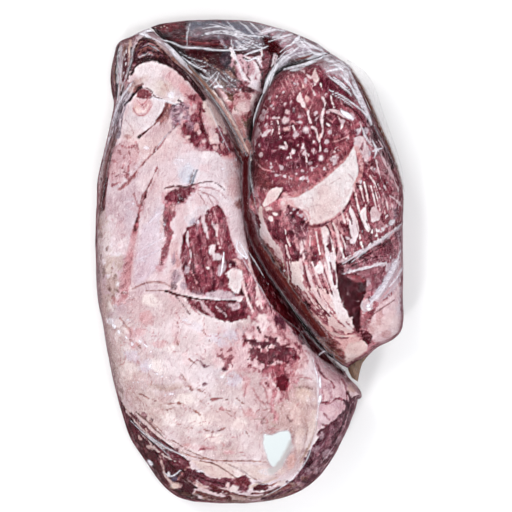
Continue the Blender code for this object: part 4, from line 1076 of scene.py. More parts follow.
areas cover 0.75 edge 2 ragged 1.6 streak 0
226 214 226: 399 232 406 232 406 300 403 326 394 334 391 326 398 304 400 268
spots cover 0.8 height -0.1 edge 0.4 ragged 1.8
112 52 68: 386 252 6 3 -24, 370 262 7 1.6 -16, 390 246 5 2 -20, 379 284 3 6 20, 372 292 2 5 10
spots cover 0.85 height -0.2 edge 0.4 ragged 1.6
52 8 18: 346 285 7 7 0, 342 270 5 4 0, 352 300 6 8 0, 357 318 3 8 0, 360 288 4 5 0
lines cover 0.88 height 0.1 ragged 0.9
238 206 210: 0.7 353 186 357 200 360 212, 0.7 360 186 364 200 366 206, 0.6 374 186 377 198 380 210,
 0.7 380 196 384 208 386 220, 0.6 366 196 370 204 372 208, 0.7 386 188 391 200 393 212, 0.7 372 220 376 230
 378 240, 0.6 392 186 396 194 399 202, 0.7 346 212 349 222 350 232
lines cover 0.88 height -0.1 ragged 0.9
104 40 54: 0.9 357 184 361 196 363 206, 0.8 376 184 380 196 382 206, 0.8 384 190 388 202 390 212, 0.9 348 206
 350 216 352 224, 0.8 366 220 370 232 372 244, 0.8 392 192 396 202 398 214
# lower tip: arcs of rose and cream
areas cover 0.9 edge 2 ragged 1.5 streak 0.06
250 206 204: 312 312 326 324 340 333 356 335 366 346 360 356 346 361 330 352 318 338
lines cover 0.65 height -0.2 ragged 0.8
150 82 92: 1.3 318 322 326 330 336 334 346 335 354 333, 1.6 328 333 338 338 348 338, 1.2 322 326 330 337
 340 344, 1 320 334 330 344 340 352, 2 332 327 336 333, 1 346 322 354 330
lines cover 0.85 height 0.1 ragged 0.5
232 206 202: 1 316 316 324 327 334 336, 1 326 340 336 347 346 352, 1.2 330 332 342 336 354 336, 0.8 318 330
 328 342 338 351
areas cover 0.95 edge 1 ragged 1.2
242 220 216: 348 346 360 340 368 346 362 354 350 361 344 358
lines cover 0.8 ragged 0.8
196 140 134: 2.2 322 345 332 354 342 360
# right margin, and the wall down to the crevice
areas cover 0.75 edge 1.5 ragged 1.5
110 42 56: 376 126 386 142 398 168 406 196 398 206 384 198 376 178 372 154
lines cover 0.85 height 0.1 ragged 0.7
226 208 216: 1 378 148 384 162 392 176, 1.2 386 160 392 174 398 190, 0.8 376 160 380 176 386 190, 1.2 390 196
 396 200 401 206, 0.8 382 140 388 152 394 164
areas cover 0.9 edge 1 ragged 1.6
50 14 24: 366 114 373 116 380 130 387 144 395 157 393 170 385 162 377 150 370 136
lines cover 0.85 height 0.1 ragged 0.8
206 190 200: 0.8 372 142 375 150 373 158, 0.7 376 146 380 154 384 160, 0.6 370 152 376 156, 0.7 378 140
 383 147
lines cover 0.8 ragged 0.7
134 92 72: 1.2 379 129 386 142 393 154 398 167, 0.8 374 118 380 128
lines cover 0.85 ragged 0.8
70 20 30: 1.8 352 71 359 86 366 102 372 116 379 129 386 143 393 157 399 172 402 186
lines cover 0.88 ragged 1.2 streak 0.1
104 44 42: 5.2 262 243 273 259 284 276 297 296 310 317 324 336 341 354
lines cover 0.7 height 0.1 ragged 0.8
172 134 118: 0.9 262 246 272 262 282 278, 0.8 268 248 280 268 292 288, 0.9 290 290 302 308 312 326,
 0.7 298 296 310 314 322 332, 0.8 284 270 292 282, 0.9 314 330 326 344 338 354, 1.2 276 262 279 268
spots cover 0.9 edge 0.4 ragged 1.2
44 12 14: 272 262 3 4 -30, 280 271 3 3.4 0, 306 306 3.4 5 -30, 264 250 3.4 5 -20, 292 292 2 4 -30,
 318 334 2 4 -30
spots cover 0.8 edge 0.4 ragged 0.8
206 188 172: 306 315 1.4 1.2 0, 289 279 1 2.6 0, 284 264 0.8 2 0, 275 268 1 1.4 0, 300 302 0.8 1.4 0
lines cover 0.95 ragged 0.6 streak 0
72 6 14: 3.2/4.2 254 246 262 262 274 280 288 302 302 322 316 342 334 360
lines cover 0.8 ragged 1.2
120 40 50: 2.4 249 158 249 180 250 200 252 216
"""
# a greyish patch on the dark top, partly painted sheen of the film
# a paler patch and pale streaks under the film's fan of creases, partly painted sheen
BACK_MARKS = """
areas cover 0.8 edge 4 ragged 2.5
92 70 84: 186 14 262 12 270 34 262 50 236 48 214 38 190 38
areas cover 0.9 edge 1.5 ragged 1
84 16 24: 148 30 160 24 182 22 184 26 172 31 158 37 150 36
spots cover 0.8 edge 0.4 ragged 0.6
206 180 178: 152 31 1 1 0, 156 28 1.4 0.8 0, 157 33 0.8 1.4 0, 161 27 1 1 0, 164 26 0.8 1 0, 153 35 0.8 1 0,
 167 28 0.8 0.8 0
lines cover 0.8 ragged 0.8
116 44 50: 1.2 176 40 200 43 226 45, 0.9 196 45 214 42, 0.8 182 36 196 38
areas cover 0.95 edge 1 ragged 1
46 6 12: 188 50 232 50 234 62 222 66 206 60
areas cover 0.85 edge 1.5 ragged 1
48 44 56: 222 50 233 51 236 66 228 70 220 62
lines cover 0.7 ragged 0.8
150 118 104: 1 228 68 234 76 240 80, 1.4 226 70 232 77, 0.8 204 58 214 66 224 74
areas cover 0.85 edge 3 ragged 3
150 112 124: 258 18 300 22 330 46 340 60 316 66 292 62 278 42
spots cover 0.8 edge 0.4 ragged 1.6
222 206 216: 268 30 9 3 -20, 284 27 9 3 -14, 298 32 6 4 0, 306 46 6 4 30, 292 50 6 2.4 -30, 322 56 7 2.4 10
spots cover 0.85 edge 0.4 ragged 1.4
132 60 72: 286 40 5 2.6 -30, 276 33 6 1.6 -20, 320 52 6 3 20, 306 54 7 3 20, 296 61 7 2.6 -10,
 330 61 6 1.8 10, 292 33 4 1.4 -30
areas cover 1 height -1.5 edge 1 ragged 1
54 2 8: 261 37 267 38 274 40 278 46 282 50 279 55 272 53 267 46
areas cover 0.95 edge 1.5 ragged 1.2
102 46 56: 262 52 269 55 271 64 268 76 264 90 260 92 258 76
lines cover 0.9 height 0.1 ragged 0.9
226 214 222: 1 275 52 273 60 271 70, 0.8 277 56 274 66, 0.8 264 66 262 76
areas cover 0.95 edge 1 ragged 1.4
120 60 72: 261 50 268 54 271 66 268 80 264 92 260 88 261 72 260 60
areas cover 0.97 height 0.8 edge 1.2 ragged 1.6
186 136 148: 232 56 240 55 250 57 259 60 262 70 261 84 264 93 254 90 246 86 240 80 236 72 231 66
lines cover 0.95 height 0.2 ragged 1.2
236 226 233: 2.2 231 49 236 60 240 70 246 80, 3.2 259 58 257 68 252 78 250 86, 2.4 250 84 256 88 263 93,
 1.8 239 66 241 74 246 80, 1.6 262 50 261 60 258 68, 1.4 246 58 252 60 256 66
lines cover 0.9 height 0.1 ragged 1
206 158 170: 1.6 244 64 245 70 249 76, 1.2 251 62 254 68 253 74
lines cover 0.95 height -0.3 ragged 0.8
60 24 34: 1.6 243 57 248 60 254 59, 1.2 254 58 258 64 260 70, 1.1 240 60 243 64, 0.9 247 62 249 68, 1 248 70
 247 76 250 80, 1 261 66 262 76 261 84, 1.2 271 60 269 70 266 80 264 90
spots cover 0.85 height -0.2 edge 0.4 ragged 1.4
142 78 90: 243 70 1.6 3 20, 248 73 1.6 3 0, 256 80 1.2 2 0, 246 84 3 2 10, 236 70 1.4 2.4 0
spots cover 0.7 edge 0.4 ragged 1.2
104 84 74: 236 62 2.4 2.4 0, 234 68 1.6 3 0
spots cover 0.92 height -0.3 edge 0.4 ragged 1.4
108 42 54: 241 87 4 3 10, 248 89 5 2 10, 256 93 5 1.4 10, 246 82 1.6 2 0
spots cover 0.9 height 0.2 edge 0.4 ragged 1.2
240 232 238: 255 84 4 4 -20, 243 76 2 3 0, 258 74 2 5 0
lines cover 0.85 height 0.1 ragged 0.5
232 224 230: 0.5 276 53 274 60 272 66, 0.5 270 72 268 80 266 88
areas cover 0.95 edge 2 ragged 2
218 166 170: 208 78 222 88 236 90 250 93 260 93 259 106 256 120 253 136 250 152 247 164 240 152 232 132
 222 108 212 94
spots cover 0.9 height 0.4 edge 0.4 ragged 1.4
248 228 228: 243 107 6 5 0, 252 102 2 8 0, 236 145 3.4 6 20, 238 112 5 6 -20, 241 142 5 5 0, 253 97 4 3 0,
 228 100 4 2 30
spots cover 0.88 height -0.2 edge 0.4 ragged 1.4
102 74 60: 247 122 5 7 0, 230 94 5 3 20, 240 152 4 4 -20, 220 84 5 3 30, 232 100 4 2 30, 252 132 2 6 0
spots cover 0.9 height -0.2 edge 0.4 ragged 1.4
112 48 58: 239 134 5 5 0, 245 138 4 4 0, 234 92 7 2.4 10, 247 152 3 5 0, 232 124 2 6 -20, 246 162 3 4 0
spots cover 0.85 height 0.1 edge 0.4 ragged 0.8
228 200 200: 243 129 3 1 0, 236 128 1 3 0, 250 98 1.4 3 0, 240 96 3 1.4 0, 246 95 1.4 1.2 0
spots cover 0.85 height -0.2 edge 0.4 ragged 1.8
150 74 84: 238 98 4 3 0, 247 96 4 3 0, 232 106 3 5 20, 250 112 2 6 0, 244 118 5 3 0, 238 124 3 4 0,
 256 108 2 8 0
lines cover 0.75 height -0.2 ragged 0.9
120 80 70: 1.4 214 80 222 90 230 98 236 110, 1 236 106 242 118 246 130
"""

# The film's marks. In these rows the path or outline comes after the colon

# Haze, creases, crumple, edge and outline; over the dark top the haze is partly painted sheen
FILM_AREAS = """
0 0.1 0.4 3: 140 30 200 12 290 18 345 55 330 66 290 66 268 80 250 100 235 84 215 74 190 56 165 42
0.09 0.3 0.3 3: 186 26 200 14 262 14 262 44 244 50 234 44 232 36 214 38 190 38
0.15 0.25 0.3 2: 188 10 262 10 262 26 240 27 214 24 190 26
0 0.02 0.2 2: 158 37 188 38 216 40 222 46 200 47 184 46 166 42
0 0.01 0.2 2: 186 50 232 52 230 68 214 68 200 62
0.26 0.35 0.5 2: 258 10 300 20 348 56 338 62 318 48 298 36 280 32 262 30
0.03 0.25 0.6 2: 262 30 298 36 326 52 318 58 296 62 280 66 274 60 284 50 276 40
0 0.06 0.4 2: 118 44 134 40 130 64 124 84 112 110 104 120 110 90
0.08 0.15 0.3 2: 128 84 132 88 122 108 112 132 106 130 112 108 120 96
0.05 0.4 0.8 2: 206 72 220 70 238 84 236 92 222 92 208 84
0.14 0.45 0.6 2: 324 62 346 58 352 76 350 86 338 80 326 74
0.05 0.25 0.5 2: 350 74 358 88 368 108 372 124 362 112 352 96 346 84
0 0.05 0.4 4: 370 130 386 150 402 196 404 230 392 224 380 190 366 156
0 0.07 0.5 4: 335 240 404 205 404 300 372 305 345 272
0.03 0.06 0.1 3: 88 210 103 210 106 300 114 350 96 350 86 290
0.2 0.25 0.1 3: 176 160 198 158 196 180 180 184
0 0.03 0.4 5: 186 466 300 474 300 500 200 500 160 490
0 0.03 0.4 5: 324 366 356 382 348 430 310 480 322 420
0 0 0.1 1.5: 262 36 268 37 275 39 280 46 284 52 281 58 273 56 266 46
0 0.01 0.2 2: 112 396 130 412 160 444 192 466 200 500 160 496 130 450
0.03 0.2 0.5 8: 125 310 165 340 170 390 130 390 112 340
0 0 0.1 2: 252 250 262 250 272 268 288 292 304 314 320 336 340 362 334 376 314 372 300 344 284 316 266 288
0.16 0.4 0.6 2: 262 30 280 30 300 36 326 50 330 56 312 52 296 46 280 38
"""
# Tints on the film, with painted grey sheen and painted shade: haze, width, ragged edge, colour and path
# painted grey sheen of the film over the dark top
# painted shade over the crevice and the wall beside it
# painted shade over the lower crevice
FILM_TINTS_AND_SHADE = """
0.72 4.2 1 150 106 92: 188 68 197 78 205 87 212 96 219 106
0.66 4.2 1.4 204 158 152: 217 101 226 114 233 126 240 139 246 152
0.55 3 1.6 190 132 130: 236 116 242 128 247 140 250 152
0.72 1.2 0.8 80 38 34: 176 58 186 69 195 79 204 90 212 101 221 115
0.7 1.2 1 84 34 34: 212 98 220 110 228 124 234 136
0.75 2.4 1.2 84 34 32: 229 134 236 146 241 156 246 166
0.8 0.8 0.6 226 204 196: 213 91 222 103 230 116 238 131 246 147 251 160
0.7 0.7 0.6 214 184 176: 200 82 208 92 216 103 225 117
0.75 1.5 0.9 66 32 30: 117 44 113.6 56 112 70 112 84 114 98
0.6 1.4 1 200 188 190: 121 43 118.6 55 117.6 68 118 82
0.6 1.4 1.4 124 88 82: 125 46 122.6 58 121.4 72 120.6 86 119 96
0.75 1.1 0.8 40 10 14: 131.6 48 129.6 60 127 72 124 84 120.6 96
0.62 1.2 0.8 220 214 228: 131 84 125 93 119 103 115 114 113 126
0.65 0.8 0.8 58 40 48: 128 95 122 103 118 113 115.6 124
0.72 2 1 84 44 44: 118 128 113.6 140 109.4 154 105.6 170 102.6 186 100.6 202 99.6 214
0.6 0.8 0.8 222 214 224: 113.4 128 108.6 142 104.4 156 101 170 98.6 184
0.5 0.8 1 214 196 196: 104 160 101 176 99 192
0.55 2.6 1.6 216 208 222: 397 258 391 270 384 282 377 292 371 300
0.5 1.6 1 206 160 166: 402 262 396 276 388 290 380 300
0.45 1.8 1.4 190 178 190: 400 226 390 234 378 242 366 249 354 256
0.8 4.6 1.2 44 6 10: 304 336 314 347 325 358 336 367 344 374
0.55 4.6 1.8 184 172 186: 279 66 286 59 296 54 308 50
0.6 1.4 1 116 56 52: 296 60 304 58 311 56
0.45 5 2 128 132 146: 192 26 210 24 230 26 248 31 256 36
0.4 2.6 1.6 142 146 160: 236 44 244 42 252 44 260 46
0.45 1.6 1.4 172 176 192: 219 37 222 42 226 47
0.6 1.6 1.4 120 66 56: 318 338 328 350 340 360 350 366
0.6 4.2 0.8 74 8 14: 246 156 245.5 176 245.5 196 247 214
0.6 5.6 0.8 62 4 10: 248 216 254 236 263 256 275 276 290 296 306 316 322 334
0.55 3 1.2 104 40 38: 262 248 274 266 286 283 300 302 314 322 326 338
"""
# Haze, width, height in millimetres and path; the milky haze is partly painted highlight on the creases
FILM_CREASES = """
0.45 0.8 0.1: 190 22 187 36 187 46
0.65 1.1 0.6: 158 39 172 43 183 47 200 48 216 50 232 50 246 50
0.55 0.8 0.2: 203 34 213 32 225 31 240 33
0.7 0.9 0.3: 220 31 235 34 250 36 264 37
0.6 0.8 0.2: 226 21 233 28 240 35 245 39
0.6 0.8 0.2: 238 21 246 27 252 33 259 38
0.6 0.9 0.2: 247 20 256 28 263 35
0.5 0.7 0.2: 206 24 218 26 230 30
0.8 0.9 0.3: 236 40 241 47 250 50
0.6 0.7 0.3: 243 42 249 46 258 49
0.6 0.8 0.3: 250 40 256 46 266 49
0.5 1.2 0.4: 231 38 233 50 236 58 240 66 243 74
0.7 1.1 0.5: 244 56 250 53 260 50 268 46
0.8 1 0.4: 243 58 248 61 255 58 259 60 262 68
0.4 0.8 0.3: 262 35 270 37
0.7 1.2 0.3: 262 33 275 30 292 33
0.7 1 0.3: 276 38 286 36 298 33
0.7 1 0.3: 266 30 280 25 292 26
0.9 1.6 0.4: 292 44 297 40 300 35
0.55 0.7 0.2: 196 30 214 27 230 29 244 34
0.55 0.7 0.2: 200 36 216 33 232 35 250 40 262 45
0.55 0.6 0.2: 214 22 228 27 242 33 254 40
0.6 0.7 0.2: 232 38 240 44 250 48
0.6 0.6 0.2: 236 37 246 42 256 45 264 44
0.55 0.6 0.2: 240 50 246 44 254 40
0.6 0.7 0.2: 268 42 278 39 290 40
0.65 0.7 0.2: 280 52 290 45 302 42 314 46
0.65 0.7 0.2: 284 60 294 55 306 52 318 53
0.6 0.6 0.2: 286 30 298 34 310 40 320 47
0.65 0.7 0.2: 290 52 302 47 316 49 328 55
0.6 0.6 0.2: 276 62 284 53 294 48
0.55 0.6 0.2: 303 36 305 44 302 52
0.7 0.8 0.3: 332 62 340 68 348 78
0.65 0.7 0.3: 336 60 344 64 350 70
0.75 0.9 0.3: 282 47 291 45 296 38
0.75 1 0.3: 298 38 304 45 311 51
0.7 1 0.3: 301 39 311 46 323 51
0.85 1 0.4: 308 50 316 54 327 54
0.55 1.1 0.3: 298 57 307 55 313 53
0.65 1.1 0.5: 273 78 277 66 284 58 293 52 301 45
0.6 1 0.5: 270 86 275 71 281 62 289 55
0.6 1 0.4: 278 68 286 60 296 54
0.7 2.4 0.7: 264 93 267 84 271 75 277 66 284 57
0.6 1 0.7: 264 93 259 105 255 118 254 126
0.25 0.8 0.5: 251 150 250 170 252 186 255 200 258 214
0.85 1.8 0.8: 284 70 293 68 305 65 316 61 324 57
0.7 1.2 0.4: 290 71 297 70 305 67
0.8 1 0.4: 322 58 329 56 336 58
0.8 1.3 0.4: 326 72 334 70 343 68 350 66
0.75 1.2 0.4: 330 66 340 64 347 61
0.8 1.2 0.4: 345 58 347 66 351 73
0.6 1 0.5: 327 75 336 82 346 90 352 96
0.65 0.9 0.4: 333 77 341 83 349 90
0.7 1.1 0.4: 341 75 348 84 356 94
0.6 2.2 0.8: 349 72 353 82 357 92 361 101 366 112 371 125
0.7 0.9 0.4: 346 78 351 88 357 98 362 109
0.65 0.9 0.5: 329 90 340 95 352 103 362 111 369 121
0.55 0.8 0.4: 332 94 342 99 353 107
0.85 2.6 0.5: 341 111 347 115 353 119
0.55 1.4 0.3: 362 128 366 138 372 146
0.6 1.4 0.4: 372 140 376 150 374 158
0.6 1 0.4: 370 152 376 150 383 148
0.3 1.2 0.8: 137 37 133 50 131 62 127 75 122 88
0.35 0.8 0.6: 119.4 45 118.6 60 118.8 76 119 90 117 104 114 116
0.4 1 0.5: 133 82 127 90 121 99 117 110
0.3 0.7 0.4: 123 56 121 70 121 84
0.4 0.8 0.5: 113 118 110.6 132 107.6 146 104 160
0.9 2.2 0.4: 116 41 130 35 142 32 152 31
0.95 2 0.3: 139 34 145 35 150 38
0.45 1 1: 148 37 160 43 170 50 178 58 186 66
0.7 2.2 0.9: 164 44 173 53 182 63 191 73
0.22 1 0.6: 192 73 202 85 212 98 222 111 232 128 240 142 247 156
0.15 0.7 0.4: 202 86 214 104 224 122 232 140
0.85 0.9 0.3: 182 57 190 63 199 68 206 71
0.4 0.7 0.3: 178 52 190 58 204 62 214 68
0.4 0.7 0.3: 192 61 200 66 208 66
0.7 0.9 0.3: 199 73 205 78 211 79
0.4 0.7 0.2: 202 70 208 74 213 80
0.5 0.7 0.3: 206 82 212 77 217 71
0.6 0.7 0.3: 210 86 216 80 219 73
0.6 0.7 0.3: 213 76 217 82 222 88
0.4 0.7 0.3: 218 74 226 81 236 87
0.9 1.3 0.3: 213 88 218 86 223 87
0.4 0.7 0.2: 224 72 230 78 238 82
0.5 0.6 0.2: 140 57 147 54 153 55
0.4 0.6 0.2: 148 45 155 48 161 53
0.36 0.8 0.6: 232 240 242 258 252 275 262 291 270 305
0.08 0.7 0.5: 270 305 285 320 300 332 309 348 314 362
0.4 1.1 0.7: 313 360 317 378 318 392 318 410 315 430
0.35 1 0.6: 315 430 309 454 299 470 284 485 264 496
0.38 1.6 1: 404 221 392 231 380 240 368 247 356 255 342 264
0.45 1.3 0.8: 386 262 370 267 356 270 343 274
0.5 2.2 0.8: 400 250 394 266 387 280 379 293 369 305
0.5 1.2 0.5: 404 264 398 275 389 287
0.45 1.2 0.6: 376 243 366 250 352 262
0.9 0.9 0.5: 224 252 223 262 221 275
0.95 0.9 0.5: 237 240 237 249 242 255 247 258 243 249 239 241
0.6 0.7 0.4: 247 250 256 264 264 278
0.3 0.7 0.3: 140 250 152 244 166 236
0.3 0.7 0.3: 134 262 146 256 160 250
0.3 0.7 0.3: 146 226 156 216 166 208
0.45 1.2 0.4: 150 97 160 100 170 102 180 106
0.35 0.7 0.4: 206 100 214 118 222 136 230 152
0.3 0.8 0.5: 176 126 165 137 156 149
0.7 0.9 0.3: 316 358 320 354 325 351
0.45 1 0.5: 150 436 164 446 178 453 192 459
0.4 0.9 0.5: 130 420 142 431 156 443 170 456
0.6 1 0.4: 163 472 172 476 181 470
0.3 0.8 0.5: 226 463 244 472 262 484 280 478
0.15 0.9 0.4: 356 84 364 104 372 122 380 138 388 152 397 170
0.12 0.7 0.3: 252 204 256 222 262 238 272 256
"""
# Middle, radii, turn and haze
FILM_GLINTS = """
320 382 1.2 6 -6 0.9, 320 398 1 5 6 0.9, 316 372 0.8 4 -20 0.8, 150 463 3.4 2 50 0.9, 198 222 1.4 2 0 0.5,
 146 346 2.4 0.9 40 0.8, 140 341 1.4 0.8 40 0.8, 151 352 1.2 0.7 30 0.8, 150 366 1.2 2.4 20 0.6,
 157 374 1.6 1 0 0.8, 153 369 0.8 0.8 0 0.8, 162 376 0.9 0.7 0 0.7, 171 394 3.6 0.8 0 0.6,
 165 395 1 0.7 0 0.6, 114 326 1.6 2.6 -20 0.8, 119 332 1 1.6 -20 0.8, 126 337 0.8 1.4 -30 0.7,
 132 344 0.9 1.6 -30 0.7, 128 320 2 1.2 0 0.5, 222 377 2 1.6 0 0.6, 186 320 2.4 0.8 0 0.4,
 236 339 2.4 1 0 0.4, 171 95 3 3 0 0.7, 146 148 2.6 1.4 0 0.5, 180 160 5 0.9 6 0.5, 176 163 3 0.7 6 0.5,
 188 166 4 0.7 6 0.5, 368 306 2 1.6 0 0.8, 392 222 2.4 3.6 40 0.6, 338 372 1.2 1.2 0 0.8,
 110 321 4 3 10 0.45, 139 382 1.4 0.8 0 0.7, 316 56 9 2.2 -18 0.65, 331 60 8 2.4 8 0.7, 341 66 6 2.4 0 0.65,
 286 40 7 1.6 -30 0.45, 301 46 6 1.6 34 0.45, 277 36 6 1.3 -20 0.45, 322 48 6 1.3 24 0.45,
 346 75 2.4 5 -20 0.55, 255 84 3 3.4 -20 0.3, 238 47 2 3 -10 0.45, 200 471 3 1.2 0 0.6, 266 472 7 3 10 0.35,
 148 359 1 0.8 0 0.8, 136 350 0.8 1 0 0.7
"""


# Numbers on the plan grid and noise

def plan(points):
    """Metres as places on the plan grid as the camera sees it: a higher point lies a little further out."""
    flat = np.stack([points[:, 0] / PLAN_UNIT + PLAN_MIDDLE[0], PLAN_MIDDLE[1] - points[:, 1] / PLAN_UNIT], 1)
    middle = FRAME_PIXELS / 2
    return middle + (flat - middle) * (CAMERA_HEIGHT - FOCUS_HEIGHT) / (CAMERA_HEIGHT - points[:, 2:])


def place(x, y, z=0.0):
    """A place on the plan grid, in metres."""
    return Vector(((x - PLAN_MIDDLE[0]) * PLAN_UNIT, (PLAN_MIDDLE[1] - y) * PLAN_UNIT, z))


def hashed(cells, seed):
    """A number from 0 to 1 for each whole-number cell."""
    mixed = cells[:, 0] * 374761393 + cells[:, 1] * 668265263 + cells[:, 2] * 2147483629 + seed * 974634777
    mixed = (mixed ^ (mixed >> 13)) * 1274126177
    mixed = mixed ^ (mixed >> 16)
    return (mixed & 0xFFFF) / 65535.0


def noise(points, size, seed):
    """Smooth noise from -1 to 1 with features of the given size."""
    scaled = points / size + seed * 7.31
    cells = np.floor(scaled).astype(np.int64)
    part = scaled - cells
    part = part * part * (3 - 2 * part)
    total = np.zeros(len(points))
    for corner in itertools.product((0, 1), repeat=3):
        weight = np.prod(np.where(np.array(corner) == 1, part, 1 - part), axis=1)
        total += weight * hashed(cells + np.array(corner), seed)
    return total * 2 - 1


def rough_noise(points, size, seed, octaves=3):
    """Noise with finer noise on it."""
    total = np.zeros(len(points))
    for octave in range(octaves):
        total += noise(points, size / 2**octave, seed + octave) * 0.6**octave
    return total / 1.6


def cells(points, size, seed):
    """Irregular cells: 0 on their borders and about 1 at their middles, and a number from 0 to 1 for each."""
    scaled = points / size
    home = np.floor(scaled).astype(np.int64)
    first = np.full(len(points), np.inf)
    second = np.full(len(points), np.inf)
    number = np.zeros(len(points))
    for corner in itertools.product((-1, 0, 1), repeat=3):
        near = home + np.array(corner)
        spot = near + np.stack([hashed(near, seed + axis) for axis in range(3)], 1)
        away = np.linalg.norm(scaled - spot, axis=1)
        closer = away < first
        second = np.minimum(second, np.where(closer, first, away))
        number = np.where(closer, hashed(near, seed + 7), number)
        first = np.minimum(first, away)
    return np.clip((second - first) * 1.6, 0, 1), number


def ease(value, start, end):
    """0 before start, 1 after end, and smooth between them."""
    share = np.clip((value - start) / (end - start), 0, 1)
    return share * share * (3 - 2 * share)


def places(path):
    """The places of a path written as "x y x y" in plan pixels."""
    return np.array(path.split(), float).reshape(-1, 2)


def table_rows(table):
    """The rows of a table of marks, each in one piece, without its headings."""
    rows = table.strip().replace("\n ", " ").splitlines()
    return [row for row in rows if not row.startswith("#")]


def numbered_rows(table):
    """For each row the numbers before its colon and the text after it."""
    for row in table_rows(table):
        numbers, text = row.split(":")
        yield list(map(float, numbers.split())), text


def smooth_line(path, closed=False):
    """More points along a Catmull-Rom curve through the given ones."""
    given = places(path)
    if closed:
        given = np.vstack([given, given[:1]])
    ends = np.vstack([2 * given[0] - given[1], given, 2 * given[-1] - given[-2]])
    fine = []
    for before, here, after, beyond in zip(ends, ends[1:], ends[2:], ends[3:]):
        for t in (0.0, 0.25, 0.5, 0.75):
            bend = 2 * before - 5 * here + 4 * after - beyond
            twist = 3 * here - before - 3 * after + beyond
            fine.append(0.5 * (2 * here + (after - before) * t + bend * t**2 + twist * t**3))
    return np.array(fine if closed else fine + [given[-1]])


def along_line(grid, line, closed=False):
    """Distance from each grid place to a line, and how far along it the nearest place is, from 0 to 1."""
    starts = line if closed else line[:-1]
    ends = np.roll(line, -1, 0) if closed else line[1:]
    nearest = np.full(len(grid), np.inf)
    share_there = np.zeros(len(grid))
    for number, (start, end) in enumerate(zip(starts, ends)):
        run = end - start
        share = np.clip((grid - start) @ run / (run @ run), 0, 1)
        away = np.linalg.norm(grid - start - share[:, None] * run, axis=1)
        closer = away < nearest
        nearest = np.where(closer, away, nearest)
        share_there = np.where(closer, (number + share) / len(starts), share_there)
    return nearest, share_there


def inside(grid, loop):
    """True for each grid place inside the closed loop."""
    hit = np.zeros(len(grid), bool)
    for (x0, y0), (x1, y1) in zip(loop, np.roll(loop, -1, 0)):
        if y0 != y1:
            crosses = (grid[:, 1] < y0) != (grid[:, 1] < y1)
            hit ^= crosses & (grid[:, 0] < x0 + (grid[:, 1] - y0) * (x1 - x0) / (y1 - y0))
    return hit


def round_about(grid):
    """The direction of each place from the pack's middle, in steps, and how far away it lies."""
    away = grid - np.array(PLAN_MIDDLE)
    turn = np.arctan2(away[:, 1], away[:, 0]) / (2 * math.pi) * DIRECTIONS
    return turn % DIRECTIONS, np.hypot(away[:, 0], away[:, 1])


def own_reach(points):
    """How far the outermost points lie from the middle, for each direction."""
    turn, far = round_about(plan(points))
    found = np.zeros(DIRECTIONS)
    np.maximum.at(found, turn.astype(int), far)
    ring = np.concatenate([found[-2:], found, found[:2]])
    return np.convolve(ring, np.ones(5) / 5, "valid")


def fitted(points, reach):
    """Points drawn out near the pack's edge, so that what reaches as far as given comes to the outline."""
    turn, far = round_about(plan(points))
    line_turn, line_far = round_about(smooth_line(OUTLINE, True))
    order = np.argsort(line_turn)
    wanted = np.interp(turn, line_turn[order], line_far[order], period=DIRECTIONS)
    own = np.interp(turn, np.arange(DIRECTIONS) + 0.5, reach, period=DIRECTIONS)
    growth = np.clip(wanted / own - 1, MOST_DRAWN_IN, MOST_DRAWN_OUT) * ease(far / own, 0.78, 0.99)
    middle = np.array([*place(*PLAN_MIDDLE)])
    moved = points + (points - middle) * growth[:, None]
    return np.stack([moved[:, 0], moved[:, 1], points[:, 2]], 1)


def bulged(points, node):
    """A lump's points with its swelling, if it has one."""
    if node not in BULGES:
        return points
    path, reach, (right, down, up) = BULGES[node]
    away, _ = along_line(plan(points), smooth_line(path))
    share = np.exp(-((away / reach) ** 2)) * ease(points[:, 2], 0.008, 0.024)
    return points + share[:, None] * np.array([right * PLAN_UNIT, -down * PLAN_UNIT, up * 0.001])


# Marks. Each gives, for all points, a share from 0 to 1. Sizes are in plan pixels, heights in millimetres

